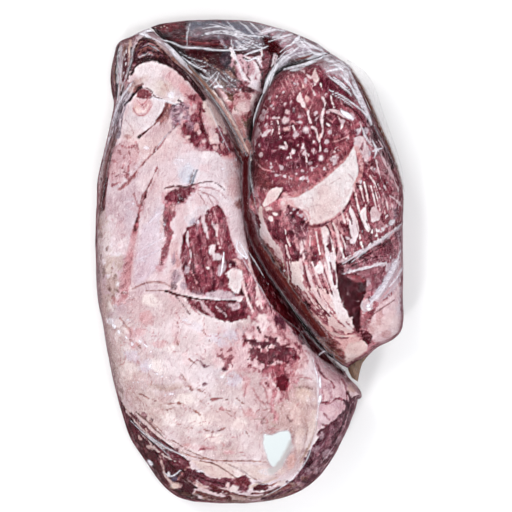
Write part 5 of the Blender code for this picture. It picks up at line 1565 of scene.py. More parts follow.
class Canvas:
    """The points of one piece, with its paint, its relief and the amounts of its fine patterns."""

    PATTERNS = ("streak", "fleck", "vein", "haze", "crumple", "crease")

    def __init__(self, points, colour=FAT):
        self.points = points
        self.grid = plan(points)
        self.colour = np.tile(np.array(colour, float), (len(points), 1))
        self.height = np.zeros(len(points))
        self.amount = {name: np.zeros(len(points)) for name in self.PATTERNS}
        broad = rough_noise(points, 0.0050, 11)
        fine = rough_noise(points, 0.0017, 23)
        self.wobble = 0.65 * broad + 0.55 * fine

    def near(self, line, reach):
        """The points that may be touched by a mark round the line's places."""
        low = line.min(0) - reach
        high = line.max(0) + reach
        return np.flatnonzero(((self.grid > low) & (self.grid < high)).all(1))

    def spread(self, near, share):
        """A mark's share for all points, from those of the points near it."""
        full = np.zeros(len(self.points))
        full[near] = share
        return full

    def area(self, outline, edge, ragged):
        """What lies inside a smooth outline."""
        loop = smooth_line(outline, True)
        near = self.near(loop, edge + ragged * 3)
        grid = self.grid[near]
        away = along_line(grid, loop, True)[0] * np.where(inside(grid, loop), 1, -1)
        return self.spread(near, ease(away + self.wobble[near] * ragged * 2, -edge, edge))

    def line(self, path, width, end_width, ragged):
        """What lies along a smooth path, as far as the widths at its start and end."""
        bend = smooth_line(path)
        near = self.near(bend, max(width, end_width) * 1.2 + ragged * 3)
        away, share = along_line(self.grid[near], bend)
        half = width + (end_width - width) * share
        away = away + self.wobble[near] * ragged * 2
        return self.spread(near, 1 - ease(away / np.maximum(half, 0.05), 0.35, 1.15))

    def crease(self, path, width, ragged=0.2):
        """A line that thins out towards both of its ends."""
        bend = smooth_line(path)
        near = self.near(bend, width * 1.2 + ragged * 3)
        away, share = along_line(self.grid[near], bend)
        half = width * (0.45 + 0.75 * np.sin(math.pi * share))
        away = away + self.wobble[near] * ragged * 2
        return self.spread(near, 1 - ease(away / half, 0.35, 1.15))

    def dab(self, middle, radii, turn, edge, ragged):
        """An oval, turned by so many degrees."""
        middle = np.array([middle], float)
        near = self.near(middle, max(radii) * (1.1 + edge) + ragged * 3)
        away = self.grid[near] - middle
        c, s = math.cos(math.radians(turn)), math.sin(math.radians(turn))
        across = (away[:, 0] * c + away[:, 1] * s) / radii[0]
        down = (-away[:, 0] * s + away[:, 1] * c) / radii[1]
        reach = np.sqrt(across**2 + down**2) + self.wobble[near] * ragged * 2 / min(radii)
        return self.spread(near, 1 - ease(reach, 1 - edge, 1 + edge))

    def add(self, share, colour=None, cover=1.0, height=0.0, **amounts):
        """Lays a mark's colour, height in millimetres and pattern amounts over what is there."""
        share = np.broadcast_to(share, len(self.points))
        if colour is not None:
            self.colour += (share * cover)[:, None] * (np.array(colour, float) - self.colour)
        self.height += share * height * 0.001
        for name, value in amounts.items():
            self.amount[name] += share * (value - self.amount[name])

    def lay(self, table):
        """Lays the marks of a table, in its order."""
        for row in table_rows(table):
            if ":" not in row:
                kind, *words = row.split()
                amounts = dict(zip(words[::2], map(float, words[1::2])))
                cover, ragged = amounts.pop("cover"), amounts.pop("ragged")
                edge, height = amounts.pop("edge", None), amounts.pop("height", 0.0)
                continue
            colours, marks = row.split(":")
            colour, *halo = np.array(colours.split(), float).reshape(-1, 3)
            for mark in marks.split(","):
                if kind == "areas":
                    share = self.area(mark, edge, ragged)
                elif kind == "lines":
                    width, path = mark.split(maxsplit=1)
                    start, _, end = width.partition("/")
                    share = self.line(path, float(start), float(end or start), ragged)
                else:
                    x, y, wide, tall, turn = map(float, mark.split())
                    for pale in halo:
                        around = (wide + HALO_WIDTH, tall + HALO_WIDTH)
                        self.add(self.dab((x, y), around, turn, HALO_EDGE, HALO_RAGGED), pale, HALO_COVER)
                    share = self.dab((x, y), (wide, tall), turn, edge, ragged)
                self.add(share, colour, cover, height, **amounts)


# Meshes

def mesh_arrays(mesh):
    points = np.empty(len(mesh.vertices) * 3)
    mesh.vertices.foreach_get("co", points)
    edges = np.empty(len(mesh.edges) * 2, np.int32)
    mesh.edges.foreach_get("vertices", edges)
    return points.reshape(-1, 3), edges.reshape(-1, 2)


def set_points(mesh, points):
    mesh.vertices.foreach_set("co", points.ravel())
    mesh.update()


def mesh_normals(mesh):
    found = np.empty(len(mesh.vertices) * 3)
    mesh.vertex_normals.foreach_get("vector", found)
    return found.reshape(-1, 3)


def smoothed(points, edges, rounds, share=0.5):
    """Each value drawn towards the mean of its neighbours, some rounds over."""
    count = np.bincount(edges.ravel(), minlength=len(points))[:, None]
    for _ in range(rounds):
        total = np.stack([
            np.bincount(edges[:, 0], points[edges[:, 1], axis], len(points))
            + np.bincount(edges[:, 1], points[edges[:, 0], axis], len(points))
            for axis in range(points.shape[1])
        ], 1)
        points = points + share * (total / np.maximum(count, 1) - points)
    return points


def remeshed(mesh, voxel):
    """A mesh of even quads about a voxel wide, round everything in the given one."""
    holder = bpy.data.objects.new("holder", mesh)
    bpy.context.scene.collection.objects.link(holder)
    remesh = holder.modifiers.new("remesh", "REMESH")
    remesh.mode = "VOXEL"
    remesh.voxel_size = voxel
    made = bpy.data.meshes.new_from_object(holder.evaluated_get(bpy.context.evaluated_depsgraph_get()))
    bpy.data.objects.remove(holder)
    return made


def moved_out(mesh, distance):
    """Moves a mesh's points along their normals."""
    points, _ = mesh_arrays(mesh)
    set_points(mesh, points + mesh_normals(mesh) * distance)


def finer_where(mesh, chosen):
    """Halves the edges of the faces that have a chosen point."""
    work = bmesh.new()
    work.from_mesh(mesh)
    faces = [face for face in work.faces if any(chosen[vert.index] for vert in face.verts)]
    edges = {edge for face in faces for edge in face.edges}
    bmesh.ops.subdivide_edges(work, edges=list(edges), cuts=1, use_grid_fill=True)
    work.to_mesh(mesh)
    work.free()


def facing_up(mesh, least):
    """True for each point above the pack's widest line whose surface looks up enough to be seen."""
    points, _ = mesh_arrays(mesh)
    return (points[:, 2] > WIDEST_HEIGHT - 0.006) & (mesh_normals(mesh)[:, 2] > least)


def fine_lump(node, voxel, reach):
    """A fine, rounded copy of a lump's solid, twice as fine on top."""
    mesh = remeshed(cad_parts[node].data.copy(), voxel)
    points, edges = mesh_arrays(mesh)
    set_points(mesh, bulged(fitted(smoothed(points, edges, LUMP_ROUNDS), reach), node))
    finer_where(mesh, facing_up(mesh, LUMP_LOOKS_UP))
    points, edges = mesh_arrays(mesh)
    set_points(mesh, smoothed(points, edges, FINE_ROUNDS))
    return mesh


def piece(name, mesh, finish, nodes=()):
    """A finished piece that rides on the part, in place of the nodes named."""
    made = bpy.data.objects.new(name, mesh)
    bpy.context.scene.collection.objects.link(made)
    mesh.materials.clear()
    mesh.materials.append(finish)
    mesh.shade_smooth()
    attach(made, "root")
    if nodes:
        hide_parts(*nodes)
    return made


def linear(colours):
    """Display colours, 0 to 255, as linear ones."""
    shares = np.clip(colours / 255, 0, 1)
    return np.where(shares <= 0.04045, shares / 12.92, ((shares + 0.055) / 1.055) ** 2.4)


def keep_vectors(mesh, name, vectors):
    kept = mesh.attributes.new(name, "FLOAT_VECTOR", "POINT")
    kept.data.foreach_set("vector", vectors.ravel())


def store(mesh, canvas, depth=1.0):
    """Keeps a canvas's paint, deepened by the given factor, and its pattern amounts on its mesh."""
    paint = mesh.attributes.new("paint", "FLOAT_COLOR", "POINT")
    rgba = np.ones((len(canvas.points), 4))
    rgba[:, :3] = linear(canvas.colour) * depth
    paint.data.foreach_set("color", rgba.ravel())
    for name, values in canvas.amount.items():
        kept = mesh.attributes.new(name, "FLOAT", "POINT")
        kept.data.foreach_set("value", np.clip(values, 0, 1))


# Materials

def node(tree, kind, inputs=(), **settings):
    """A new shader node. Each input is a value or another node's output."""
    made = tree.nodes.new(kind)
    for key, value in settings.items():
        setattr(made, key, value)
    for key, value in dict(inputs).items():
        if isinstance(value, bpy.types.NodeSocket):
            tree.links.new(value, made.inputs[key])
        else:
            made.inputs[key].default_value = value
    return made


def shade(colour):
    """A display colour as a linear one for a shader socket."""
    return (*linear(np.array(colour, float)), 1)


def attribute(tree, name, output="Fac"):
    return node(tree, "ShaderNodeAttribute", attribute_name=name).outputs[output]


def math_node(tree, operation, first, second=0.0):
    return node(tree, "ShaderNodeMath", {0: first, 1: second}, operation=operation).outputs[0]


def between(tree, value, start, end):
    """0 at start, 1 at end, and smooth between them."""
    found = node(
        tree, "ShaderNodeMapRange", {"Value": value, "From Min": start, "From Max": end},
        interpolation_type="SMOOTHSTEP",
    )
    return found.outputs["Result"]


def mixed(tree, share, first, second, blend="MIX"):
    found = node(
        tree, "ShaderNodeMix", {"Factor": share, 6: first, 7: second}, data_type="RGBA", blend_type=blend
    )
    return found.outputs[2]


def noise_node(tree, vector, scale, detail=3.0, distortion=0.0, rough=0.55):
    found = node(tree, "ShaderNodeTexNoise", {
        "Vector": vector, "Scale": scale, "Detail": detail, "Distortion": distortion, "Roughness": rough,
    })
    return found.outputs["Fac"]


def meat_material(name):
    """Raw meat: its paint, with the finest fibres, flecks and grit worked into it."""
    made = bpy.data.materials.new(name)
    made.use_nodes = True
    tree = made.node_tree
    shader = tree.nodes["Principled BSDF"]
    where = node(tree, "ShaderNodeTexCoord").outputs["Object"]
    grain = attribute(tree, "grain", "Vector")
    paint = attribute(tree, "paint", "Color")
    light = node(tree, "ShaderNodeRGBToBW", {"Color": paint}).outputs[0]
    lean = math_node(tree, "SUBTRACT", 1.0, between(tree, light, 0.10, 0.50))

    fibres = noise_node(tree, grain, 2.6, 3.0, 0.5, 0.6)
    grit = noise_node(tree, where, 1150.0, 3.0, 0.6, 0.7)
    half = math_node(tree, "MULTIPLY", grit, 0.5)
    both = math_node(tree, "ADD", math_node(tree, "MULTIPLY", fibres, 0.5), half)
    dark = math_node(tree, "SUBTRACT", 1.0, between(tree, both, 0.38, 0.50))
    pale = between(tree, both, 0.54, 0.66)
    darker = mixed(tree, lean, (0.80, 0.69, 0.72, 1), (0.36, 0.20, 0.25, 1))
    deep = mixed(tree, 1.0, paint, darker, "MULTIPLY")
    lighter = math_node(tree, "MULTIPLY", between(tree, light, 0.012, 0.10), 0.42)
    bright = mixed(tree, lighter, paint, shade(FIBRE_LIGHT))
    colour = mixed(tree, dark, paint, deep)
    colour = mixed(tree, pale, colour, bright)
    tree.links.new(colour, shader.inputs["Base Color"])

    rise = math_node(tree, "SUBTRACT", both, math_node(tree, "MULTIPLY", dark, 0.2))
    bump = node(tree, "ShaderNodeBump", {"Height": rise, "Distance": 0.0004, "Strength": 0.7})
    tree.links.new(bump.outputs[0], shader.inputs["Normal"])
    rough = node(tree, "ShaderNodeMapRange", {"Value": grit, "To Min": 0.38, "To Max": 0.55}).outputs[0]
    tree.links.new(rough, shader.inputs["Roughness"])
    shader.inputs["Specular IOR Level"].default_value = 0.0
    return made


def film_material(name):
    """Clear shrink film: see-through and glossy, milky where it is creased, with fine drawn creases."""
    made = bpy.data.materials.new(name)
    made.use_nodes = True
    tree = made.node_tree
    tree.nodes.remove(tree.nodes["Principled BSDF"])
    where = node(tree, "ShaderNodeTexCoord").outputs["Object"]
    drawn = attribute(tree, "drawn", "Vector")
    crumple = attribute(tree, "crumple")
    crease = attribute(tree, "crease")
    fine = noise_node(tree, drawn, 1.6, 4.0, 0.8, 0.65)
    broad = noise_node(tree, where, 85.0, 3.0, 0.6)
    facets = node(tree, "ShaderNodeTexVoronoi", {"Vector": drawn, "Scale": 0.55}, feature="DISTANCE_TO_EDGE")
    small = node(tree, "ShaderNodeTexVoronoi", {"Vector": drawn, "Scale": 1.7}, feature="DISTANCE_TO_EDGE")
    wide = math_node(tree, "SUBTRACT", 1.0, between(tree, facets.outputs["Distance"], 0.0, 0.085))
    thin = math_node(tree, "SUBTRACT", 1.0, between(tree, small.outputs["Distance"], 0.0, 0.10))
    thin = math_node(tree, "MULTIPLY", thin, between(tree, broad, 0.40, 0.60))
    lines = math_node(tree, "MAXIMUM", wide, math_node(tree, "MULTIPLY", thin, 0.8))
    lines = math_node(tree, "MULTIPLY", lines, between(tree, fine, 0.32, 0.52))
    lines = math_node(tree, "MULTIPLY", lines, crease)

    swell = math_node(tree, "MULTIPLY", broad, 0.5)
    rise = math_node(tree, "ADD", math_node(tree, "MULTIPLY", fine, 0.25), swell)
    folds = math_node(tree, "MULTIPLY", facets.outputs["Distance"], crumple)
    rise = math_node(tree, "ADD", rise, math_node(tree, "MULTIPLY", folds, 1.2))
    bump = node(tree, "ShaderNodeBump", {"Height": rise, "Distance": 0.0008, "Strength": 1.0}).outputs[0]

    streaky = between(tree, fine, 0.36, 0.64)
    spread = math_node(tree, "MINIMUM", math_node(tree, "MULTIPLY", crumple, 8.0), 1.0)
    uneven = math_node(tree, "SUBTRACT", math_node(tree, "MULTIPLY", streaky, 0.7), 0.35)
    uneven = math_node(tree, "MULTIPLY", uneven, spread)
    haze = math_node(tree, "MULTIPLY", attribute(tree, "haze"), math_node(tree, "ADD", uneven, 1.0))
    haze = math_node(tree, "MAXIMUM", haze, math_node(tree, "MULTIPLY", lines, 0.85))
    edge_on = node(tree, "ShaderNodeFresnel", {"IOR": FILM_INDEX, "Normal": bump}).outputs[0]
    edge_on = math_node(tree, "MINIMUM", edge_on, MOST_GLOSS)
    clear = node(tree, "ShaderNodeBsdfTransparent")
    milk = node(tree, "ShaderNodeBsdfDiffuse", {"Color": attribute(tree, "paint", "Color")})
    shine = {"Color": GLOSS_TINT, "Roughness": GLOSS_ROUGHNESS, "Normal": bump}
    gloss = node(tree, "ShaderNodeBsdfGlossy", shine)
    body = node(tree, "ShaderNodeMixShader", {0: haze, 1: clear.outputs[0], 2: milk.outputs[0]})
    whole = node(tree, "ShaderNodeMixShader", {0: edge_on, 1: body.outputs[0], 2: gloss.outputs[0]})
    tree.links.new(whole.outputs[0], tree.nodes["Material Output"].inputs["Surface"])
    return made


def floor_material():
    """Plain and pale."""
    made = bpy.data.materials.new("floor")
    made.use_nodes = True
    tree = made.node_tree
    shader = tree.nodes["Principled BSDF"]
    where = node(tree, "ShaderNodeTexCoord").outputs["Object"]
    spots = noise_node(tree, where, 30.0)
    colour = mixed(tree, spots, (0.94, 0.94, 0.94, 1), (0.96, 0.96, 0.96, 1))
    tree.links.new(colour, shader.inputs["Base Color"])
    shader.inputs["Roughness"].default_value = 0.7
    return made


# The lumps' paint

def paint_under(canvas, normals, lean_below):
    """Below the widest line the meat shows broad sheets of lean and of fat."""
    points = canvas.points
    low = 1 - ease(points[:, 2] + canvas.wobble * 0.008, WIDEST_HEIGHT - 0.008, WIDEST_HEIGHT + 0.003)
    low = np.maximum(low, ease(-normals[:, 2], 0.1, 0.5))
    low = np.maximum(low, 0.65 * (1 - ease(normals[:, 2] + canvas.wobble * 0.5, 0.0, 0.35)))
    spread = rough_noise(points * np.array([1.0, 0.45, 1.0]), 0.026, 41, 4)
    lean = ease(spread + lean_below, -0.10, 0.12)
    canvas.add(low, FAT_PINK, 0.8, vein=0.8)
    canvas.add(low * lean, LEAN, 0.95, streak=0.75, vein=0)
    canvas.add(low * lean * ease(rough_noise(points, 0.012, 57), 0.0, 0.5), LEAN_DARK, 0.7)


def lay_tear(canvas):
    """The torn, blood-dark patch low on the cap, with fibres across it."""
    torn = canvas.area(TORN_OUTLINE, 6, 5)
    fibre = rough_noise(canvas.points * np.array([1.0, 0.7, 1.0]), 0.0030, 171, 3)
    canvas.add(torn, TORN_BASE, 0.85)
    canvas.add(torn * ease(fibre, 0.0, 0.35), TORN_DARK, 0.8)
    canvas.add(torn * ease(-fibre, 0.15, 0.45), TORN_PALE, 0.8)


def paint_large(canvas):
    """The long lump under the fat cap."""
    mottle = rough_noise(canvas.points, 0.012, 71)
    canvas.add(ease(mottle, -0.1, 0.6), FAT_PINK, 0.5)
    canvas.lay(LARGE_MARKS)
    lay_tear(canvas)
    canvas.lay(LARGE_MARKS_OVER_TEAR)


def paint_small(canvas):
    """The marbled lump with the round face."""
    canvas.add(1.0, SMALL_BASE, streak=0.35)
    canvas.lay(SMALL_MARKS)


def paint_back(canvas):
    """The dark lump behind, with its knuckle of fat."""
    canvas.add(1.0, BACK_BASE, streak=0.06)
    canvas.lay(BACK_MARKS)


# Making the lumps

def grain_field(canvas, turn, fan):
    """Places across and along the meat's fibres, which fan out a little over the plan, in fibre widths."""
    grid = canvas.grid
    heading = np.radians(turn + fan * (grid[:, 0] - PLAN_MIDDLE[0]) / 100)
    across = grid[:, 0] * np.cos(heading) + grid[:, 1] * np.sin(heading)
    down = -grid[:, 0] * np.sin(heading) + grid[:, 1] * np.cos(heading)
    across = across + rough_noise(canvas.points, 0.010, 91) * 4.5
    across = across + rough_noise(canvas.points, 0.003, 93) * 0.9
    wide, long, high = GRAIN_SIZE
    return np.stack([across / wide, down / long, canvas.points[:, 2] / high], 1)


def worked_in(canvas, edges, grain):
    """Works marbling, lobules and mottle into the flat paint, and crispens it."""
    points = canvas.points
    light = canvas.colour @ np.array([0.3, 0.59, 0.11])
    lean = 1 - ease(light, 105, 185)
    fat = 1 - lean
    streak = canvas.amount["streak"]
    vein = canvas.amount["vein"]

    canvas.colour *= 1 - 0.04 * fat[:, None]
    # marbling, dark fibres and finer strands along the grain
    fibre = rough_noise(grain, 1.0, 61, 3)
    canvas.add(ease(fibre, 0.10, 0.30) * streak, MARBLE, 0.85, height=0.10)
    canvas.add(ease(-fibre, 0.12, 0.34) * lean * (0.25 + 0.75 * streak), LEAN_DARK, 0.70, height=-0.10)
    strand = rough_noise(grain * np.array([2.2, 1.6, 2.2]), 1.0, 67, 2)
    canvas.add(ease(strand, 0.15, 0.45) * lean * (0.35 + 0.5 * streak), LEAN_PALE, 0.55)

    # loose flecks of marbling
    fleck = rough_noise(points * np.array([1.0, 0.7, 1.0]), 0.0026, 73, 2)
    canvas.add(ease(fleck, 0.30, 0.50) * np.maximum(canvas.amount["fleck"], lean * 0.25), MARBLE, 0.80)

    # lobules of fat, its clouds and the fine veins between them
    drift = np.stack([rough_noise(points, 0.0070, seed) for seed in (79, 81, 85)], 1)
    border, number = cells(points + drift * 0.0030, 0.0080, 5)
    tint = (number - 0.5) * ease(border, 0.0, 0.6)
    canvas.add(fat * ease(tint, 0.0, 0.5), FAT_WHITE, 0.45)
    canvas.add(fat * ease(-tint, 0.0, 0.5), BLUSH, 0.14)
    cloud = rough_noise(points, 0.024, 103, 2)
    canvas.add(fat * ease(cloud, 0.05, 0.60), FAT_PALE, 0.65)
    canvas.add(fat * ease(-cloud, 0.05, 0.60), FAT_DULL, 0.45)
    for size, seed, wide, cover in ((0.0090, 83, 0.035, 0.55), (0.0050, 87, 0.05, 0.40)):
        ridge = 1 - ease(np.abs(rough_noise(points + drift * 0.0015, size, seed, 2)), 0.0, wide)
        ridge *= ease(rough_noise(points, size * 1.7, seed + 2), 0.0, 0.40)
        canvas.add(fat * ridge * (0.3 + 0.7 * vein), FAT_VEIN, cover, height=-0.08)

    # mottle and grit over all, and a crisper contrast
    mottle = rough_noise(points, 0.0048, 97, 3)
    canvas.colour *= 1 + (mottle * (0.040 + 0.20 * lean))[:, None] * np.array([0.8, 1.1, 1.05])
    grit = rough_noise(points, 0.0019, 101, 2)
    canvas.colour *= 1 + (grit * (0.025 + 0.22 * lean))[:, None]
    low = smoothed(canvas.colour, edges, 12)
    canvas.colour += CRISPNESS * (canvas.colour - low)
    canvas.height += mottle * 0.00012 + 0.00020 * ease(border, 0.0, 0.6) * (0.3 + vein) * fat


def lump(node, voxel, reach, paint, finish):
    """A finished lump in place of its solid."""
    mesh = fine_lump(node, voxel, reach)
    points, edges = mesh_arrays(mesh)
    normals = mesh_normals(mesh)
    canvas = Canvas(points)
    paint(canvas)
    paint_under(canvas, normals, LEAN_BELOW[node])
    grain = grain_field(canvas, *FIBRE_TURNS[node])
    worked_in(canvas, edges, grain)
    # painted shade: the steep sides are painted darker
    steep = 1 - ease(normals[:, 2], 0.10, 0.75)
    canvas.colour *= 1 - STEEP_SHADE * steep[:, None] * np.array([0.85, 1.05, 1.0])
    rise = smoothed(canvas.height[:, None], edges, 1)[:, 0]
    set_points(mesh, points + normals * rise[:, None])
    store(mesh, canvas, PAINT_DEPTH)
    keep_vectors(mesh, "grain", grain)
    return piece(node.replace("meat", "lump"), mesh, finish, [node])


# The film

def taut_skin(lumps):
    """The film's even form: drawn over all lumps and across the hollows between them."""
    work = bmesh.new()
    for made in lumps:
        work.from_mesh(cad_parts[made].data)
    joined = bpy.data.meshes.new("joined")
    work.to_mesh(joined)
    work.free()
    coarse = remeshed(joined, TAUT_VOXEL)
    points, edges = mesh_arrays(coarse)
    set_points(coarse, smoothed(points, edges, COARSE_FILM_ROUNDS))
    moved_out(coarse, TAUT_RADIUS)
    swollen = remeshed(coarse, TAUT_VOXEL)
    points, edges = mesh_arrays(swollen)
    set_points(swollen, smoothed(points, edges, TAUT_FILM_ROUNDS))
    moved_out(swollen, FILM_OFF - TAUT_RADIUS)
    skin = remeshed(swollen, SKIN_VOXEL)
    points, edges = mesh_arrays(skin)
    points = smoothed(points, edges, SKIN_ROUNDS)
    reach = own_reach(points) + RIM_REACH / PLAN_UNIT
    set_points(skin, fitted(points, reach))
    rough = Canvas(mesh_arrays(skin)[0], MILK)
    film_marks(rough, CREASE_MARGIN)
    marked = (rough.amount["haze"] > 0.10) | (rough.amount["crease"] > 0.2) | (np.abs(rough.height) > 0.0001)
    finer_where(skin, marked & facing_up(skin, FILM_LOOKS_UP))
    points, edges = mesh_arrays(skin)
    set_points(skin, smoothed(points, edges, FINE_SKIN_ROUNDS))
    return skin, reach


def film_marks(canvas, spare=0.0):
    """Creases, folds, milky places and glints of the film. Spare width finds all points near a crease."""
    canvas.add(np.ones(len(canvas.points)), haze=0.002, crumple=0.10, crease=0.01)
    for (haze, crease, crumple, edge), outline in numbered_rows(FILM_AREAS):
        canvas.add(canvas.area(outline, edge, 2.0), haze=haze, crease=crease, crumple=crumple)
    # tints on the film, among them painted grey sheen over the dark top and painted shade over the crevice
    for (haze, width, ragged, *colour), path in numbered_rows(FILM_TINTS_AND_SHADE):
        canvas.add(canvas.line(path, width, width, ragged), colour, haze=haze, crease=0.02)
    for (haze, width, height), path in numbered_rows(FILM_CREASES):
        share = canvas.crease(path, width + spare)
        canvas.add(share, MILK, height=height)
        canvas.add(share, haze=haze)
    for glint in " ".join(table_rows(FILM_GLINTS)).split(","):
        x, y, wide, tall, turn, haze = map(float, glint.split())
        canvas.add(canvas.dab((x, y), (wide, tall), turn, 0.4, 0.5), haze=haze)
    # painted glints: small white specks of haze
    glint_specks = ease(rough_noise(canvas.points, 0.0028, 161, 2), 0.50, 0.72)
    glint_specks = glint_specks * ease(rough_noise(canvas.points, 0.020, 163), -0.1, 0.4)
    canvas.add(glint_specks * 0.6, haze=0.9)
    glare = canvas.area(GLARE_OUTLINE, 1.0, 0.4)
    canvas.add(glare, height=0.35)
    canvas.add(glare, GLARE, haze=0.93, crumple=0, crease=0)
    dim = canvas.area(DIM_OUTLINE, 2.0, 1.0)
    canvas.add(dim, GLARE_DIM, haze=0.50, crumple=0, crease=0)


def drawn_field(canvas):
    """Places across and along the way in which the film is drawn, in crease widths."""
    x, y = canvas.grid[:, 0], canvas.grid[:, 1]
    along, across = y.copy(), x.copy()
    for outline, turn in DRAWN_WAYS:
        chosen = inside(canvas.grid, smooth_line(outline, True))
        c, s = math.cos(math.radians(turn)), math.sin(math.radians(turn))
        along[chosen] = (x * c + y * s)[chosen]
        across[chosen] = (y * c - x * s)[chosen]
    for outline, (from_x, from_y) in DRAWN_FANS:
        chosen = inside(canvas.grid, smooth_line(outline, True))
        reach = np.hypot(x - from_x, y - from_y) + FAN_START
        along[chosen] = (np.log(reach / FAN_REACH) * FAN_ALONG)[chosen]
        across[chosen] = (np.arctan2(y - from_y, x - from_x) * FAN_ROUND)[chosen]
    across = across + rough_noise(canvas.points, 0.009, 151) * DRAWN_DRIFT
    wide, long, high = DRAWN_SIZE
    return np.stack([across / wide, along / long, canvas.points[:, 2] / high], 1)


def film_form(skin):
    """Gives the even skin its joined rim, flat underside, creases and milky places."""
    points, edges = mesh_arrays(skin)
    normals = mesh_normals(skin)
    canvas = Canvas(points, MILK)
    film_marks(canvas)
    sideways = normals * np.array([1, 1, 0])
    rim = np.exp(-(((points[:, 2] - WIDEST_HEIGHT) / RIM_HALF) ** 2))
    points = points + sideways * (rim * RIM_REACH)[:, None]
    points[:, 2] -= FLOOR_DROP * (1 - ease(points[:, 2], 0.0015, 0.0100))
    above = ease(points[:, 2], WIDEST_HEIGHT - 0.002, WIDEST_HEIGHT + 0.006)
    rumple = rough_noise(canvas.points * np.array([1, 0.5, 1]), 0.0060, 131) * 0.00035
    rumple += np.abs(rough_noise(canvas.points, 0.0050, 137)) * canvas.amount["crumple"] * 0.0012
    rise = canvas.height * above + rumple * (0.35 + 0.65 * above)
    rise = smoothed(rise[:, None], edges, 1)[:, 0]
    kept = 0.25 + 0.75 * ease(normals[:, 2] + 0.6 * canvas.wobble, 0.0, 0.6)
    for name in ("haze", "crease"):
        canvas.amount[name] = canvas.amount[name] * above * kept + 0.02 * (1 - above)
    points = points + normals * rise[:, None]
    points[:, 2] = np.maximum(points[:, 2], 0.0)
    set_points(skin, points)
    store(skin, canvas)
    keep_vectors(skin, "drawn", drawn_field(canvas))


def clinging(lump_object, skin_tree):
    """Keeps a lump's points under the film, and presses it against the film round the widest line."""
    mesh = lump_object.data
    points, _ = mesh_arrays(mesh)
    pressed = np.exp(-(((points[:, 2] - WIDEST_HEIGHT - 0.001) / 0.008) ** 2))
    for number, point in enumerate(points):
        near, normal, _, _ = skin_tree.find_nearest(Vector(point), 0.004)
        if near is None:
            continue
        room = (near - Vector(point)).dot(normal)
        share = 1.0 if room < LEAST_ROOM else pressed[number]
        points[number] += np.array(normal) * (room - LEAST_ROOM) * share
    set_points(mesh, points)


def strip_sheet(name, inner, outer, wave, finish, shades, hazes):
    """A free strip of film between two lines of the plan grid, gently waved, with a rounded outer fold."""
    ranks = []
    for line in (smooth_line(inner), smooth_line(outer)):
        at = np.linspace(0, len(line) - 1, STRIP_COLUMNS)
        ranks.append(np.stack([np.interp(at, range(len(line)), line[:, axis]) for axis in (0, 1)], 1))
    work = bmesh.new()
    sheets = []
    for side in (1, -1):
        sheet = []
        for row in range(STRIP_ROWS + 1):
            share = row / STRIP_ROWS
            across = ranks[0] * (1 - share) + ranks[1] * share
            line = []
            for number, (x, y) in enumerate(across):
                swing = math.sin(math.pi * number / (STRIP_COLUMNS - 1))
                ripple = wave * math.sin(number * 0.55 + row * 0.7) * swing
                z = STRIP_HEIGHT + ripple + side * STRIP_HALF * math.sqrt(max(0.0, 1 - share**2))
                line.append(work.verts.new(place(x, y, z)))
            sheet.append(line)
        sheets.append(sheet)
    for sheet, turned in zip(sheets, (False, True)):
        for first, second in zip(sheet, sheet[1:]):
            for a, b, c, d in zip(first, first[1:], second[1:], second):
                work.faces.new((a, d, c, b) if turned else (a, b, c, d))
    bmesh.ops.remove_doubles(work, verts=work.verts, dist=1e-5)
    bmesh.ops.recalc_face_normals(work, faces=work.faces)
    mesh = bpy.data.meshes.new(name)
    work.to_mesh(mesh)
    work.free()
    points, _ = mesh_arrays(mesh)
    canvas = Canvas(points, shades[0])
    away, _ = along_line(canvas.grid, smooth_line(inner))
    canvas.add(1.0, haze=hazes[0], crumple=0.5, crease=0.1)
    # along the inner edge: painted shade on the flap, a darker tint on the web
    canvas.add(1 - ease(away, 1.0, 5.0), shades[1], haze=hazes[1])
    store(mesh, canvas)
    keep_vectors(mesh, "drawn", drawn_field(canvas))
    return piece(name, mesh, finish)


# The stage

def soft_light(name, spot, size, power, colour):
    """A lamp that shines from a rectangle towards the part."""
    lamp = bpy.data.lights.new(name, "AREA")
    lamp.shape = "RECTANGLE"
    lamp.size, lamp.size_y = size
    lamp.energy = power
    lamp.color = colour
    holder = bpy.data.objects.new(name, lamp)
    holder.location = spot
    holder.rotation_euler = (-Vector(spot)).to_track_quat("-Z", "Y").to_euler()
    bpy.context.scene.collection.objects.link(holder)


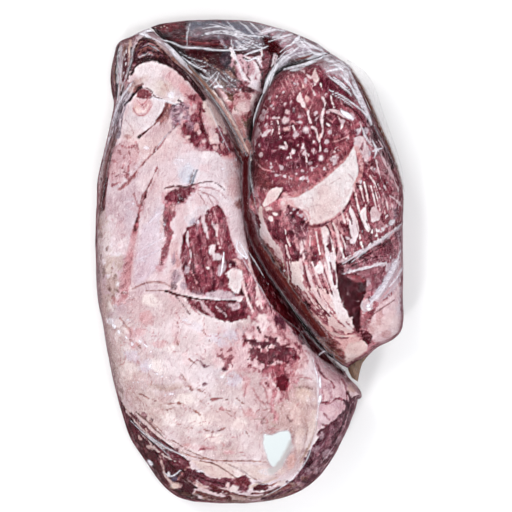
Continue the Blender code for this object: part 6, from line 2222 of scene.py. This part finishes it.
def stage():
    """The floor, the sky's soft light and the lamps."""
    mesh = bpy.data.meshes.new("floor")
    corners = [(x * FLOOR_HALF, y * FLOOR_HALF, 0) for x, y in ((-1, -1), (1, -1), (1, 1), (-1, 1))]
    mesh.from_pydata(corners, [], [(0, 1, 2, 3)])
    mesh.materials.append(floor_material())
    floor = bpy.data.objects.new("floor", mesh)
    floor.location.z = FLOOR_LEVEL
    bpy.context.scene.collection.objects.link(floor)

    world = bpy.data.worlds.new("studio")
    world.use_nodes = True
    tree = world.node_tree
    sky = node(tree, "ShaderNodeSeparateXYZ", {0: node(tree, "ShaderNodeTexCoord").outputs["Generated"]})
    overhead = between(tree, sky.outputs[2], 0.80, 0.93)
    colour = mixed(tree, overhead, (*WORLD_SIDES, 1), (*WORLD_OVERHEAD, 1))
    tree.links.new(colour, tree.nodes["Background"].inputs["Color"])
    bpy.context.scene.world = world
    for name, spot, size, power, colour in LIGHTS:
        soft_light(name, spot, size, power, colour)
    bpy.context.scene.view_settings.view_transform = "Standard"


def camera():
    """Straight above, from far off, so that the photo's whole height is 512 plan pixels."""
    lens = bpy.data.cameras.new("camera")
    lens.sensor_width = SENSOR_WIDTH
    lens.lens = SENSOR_WIDTH * (CAMERA_HEIGHT - FOCUS_HEIGHT) / (FRAME_PIXELS * PLAN_UNIT)
    holder = bpy.data.objects.new("camera", lens)
    middle = place(FRAME_PIXELS / 2, FRAME_PIXELS / 2)
    holder.location = (middle.x, middle.y, CAMERA_HEIGHT)
    bpy.context.scene.collection.objects.link(holder)
    bpy.context.scene.camera = holder


def main():
    meat = meat_material("meat")
    film = film_material("film")
    skin, reach = taut_skin(("meat_large", "meat_small", "meat_back"))
    large = lump("meat_large", LARGE_VOXEL, reach, paint_large, meat)
    small = lump("meat_small", SMALL_VOXEL, reach, paint_small, meat)
    back = lump("meat_back", SMALL_VOXEL, reach, paint_back, meat)
    film_form(skin)
    tree = BVHTree.FromPolygons([v.co for v in skin.vertices], [p.vertices for p in skin.polygons])
    for made in (large, small, back):
        clinging(made, tree)
    piece("film_skin", skin, film, ["bag"])
    strip_sheet("film_flap", FLAP_INNER, FLAP_OUTER, FLAP_WAVE, film, (MILK, FLAP_EDGE_SHADE), FLAP_HAZES)
    strip_sheet("film_web", WEB_INNER, WEB_OUTER, WEB_WAVE, film, (WEB_SHADE, WEB_STAIN), WEB_HAZES)
    stage()
    camera()


main()
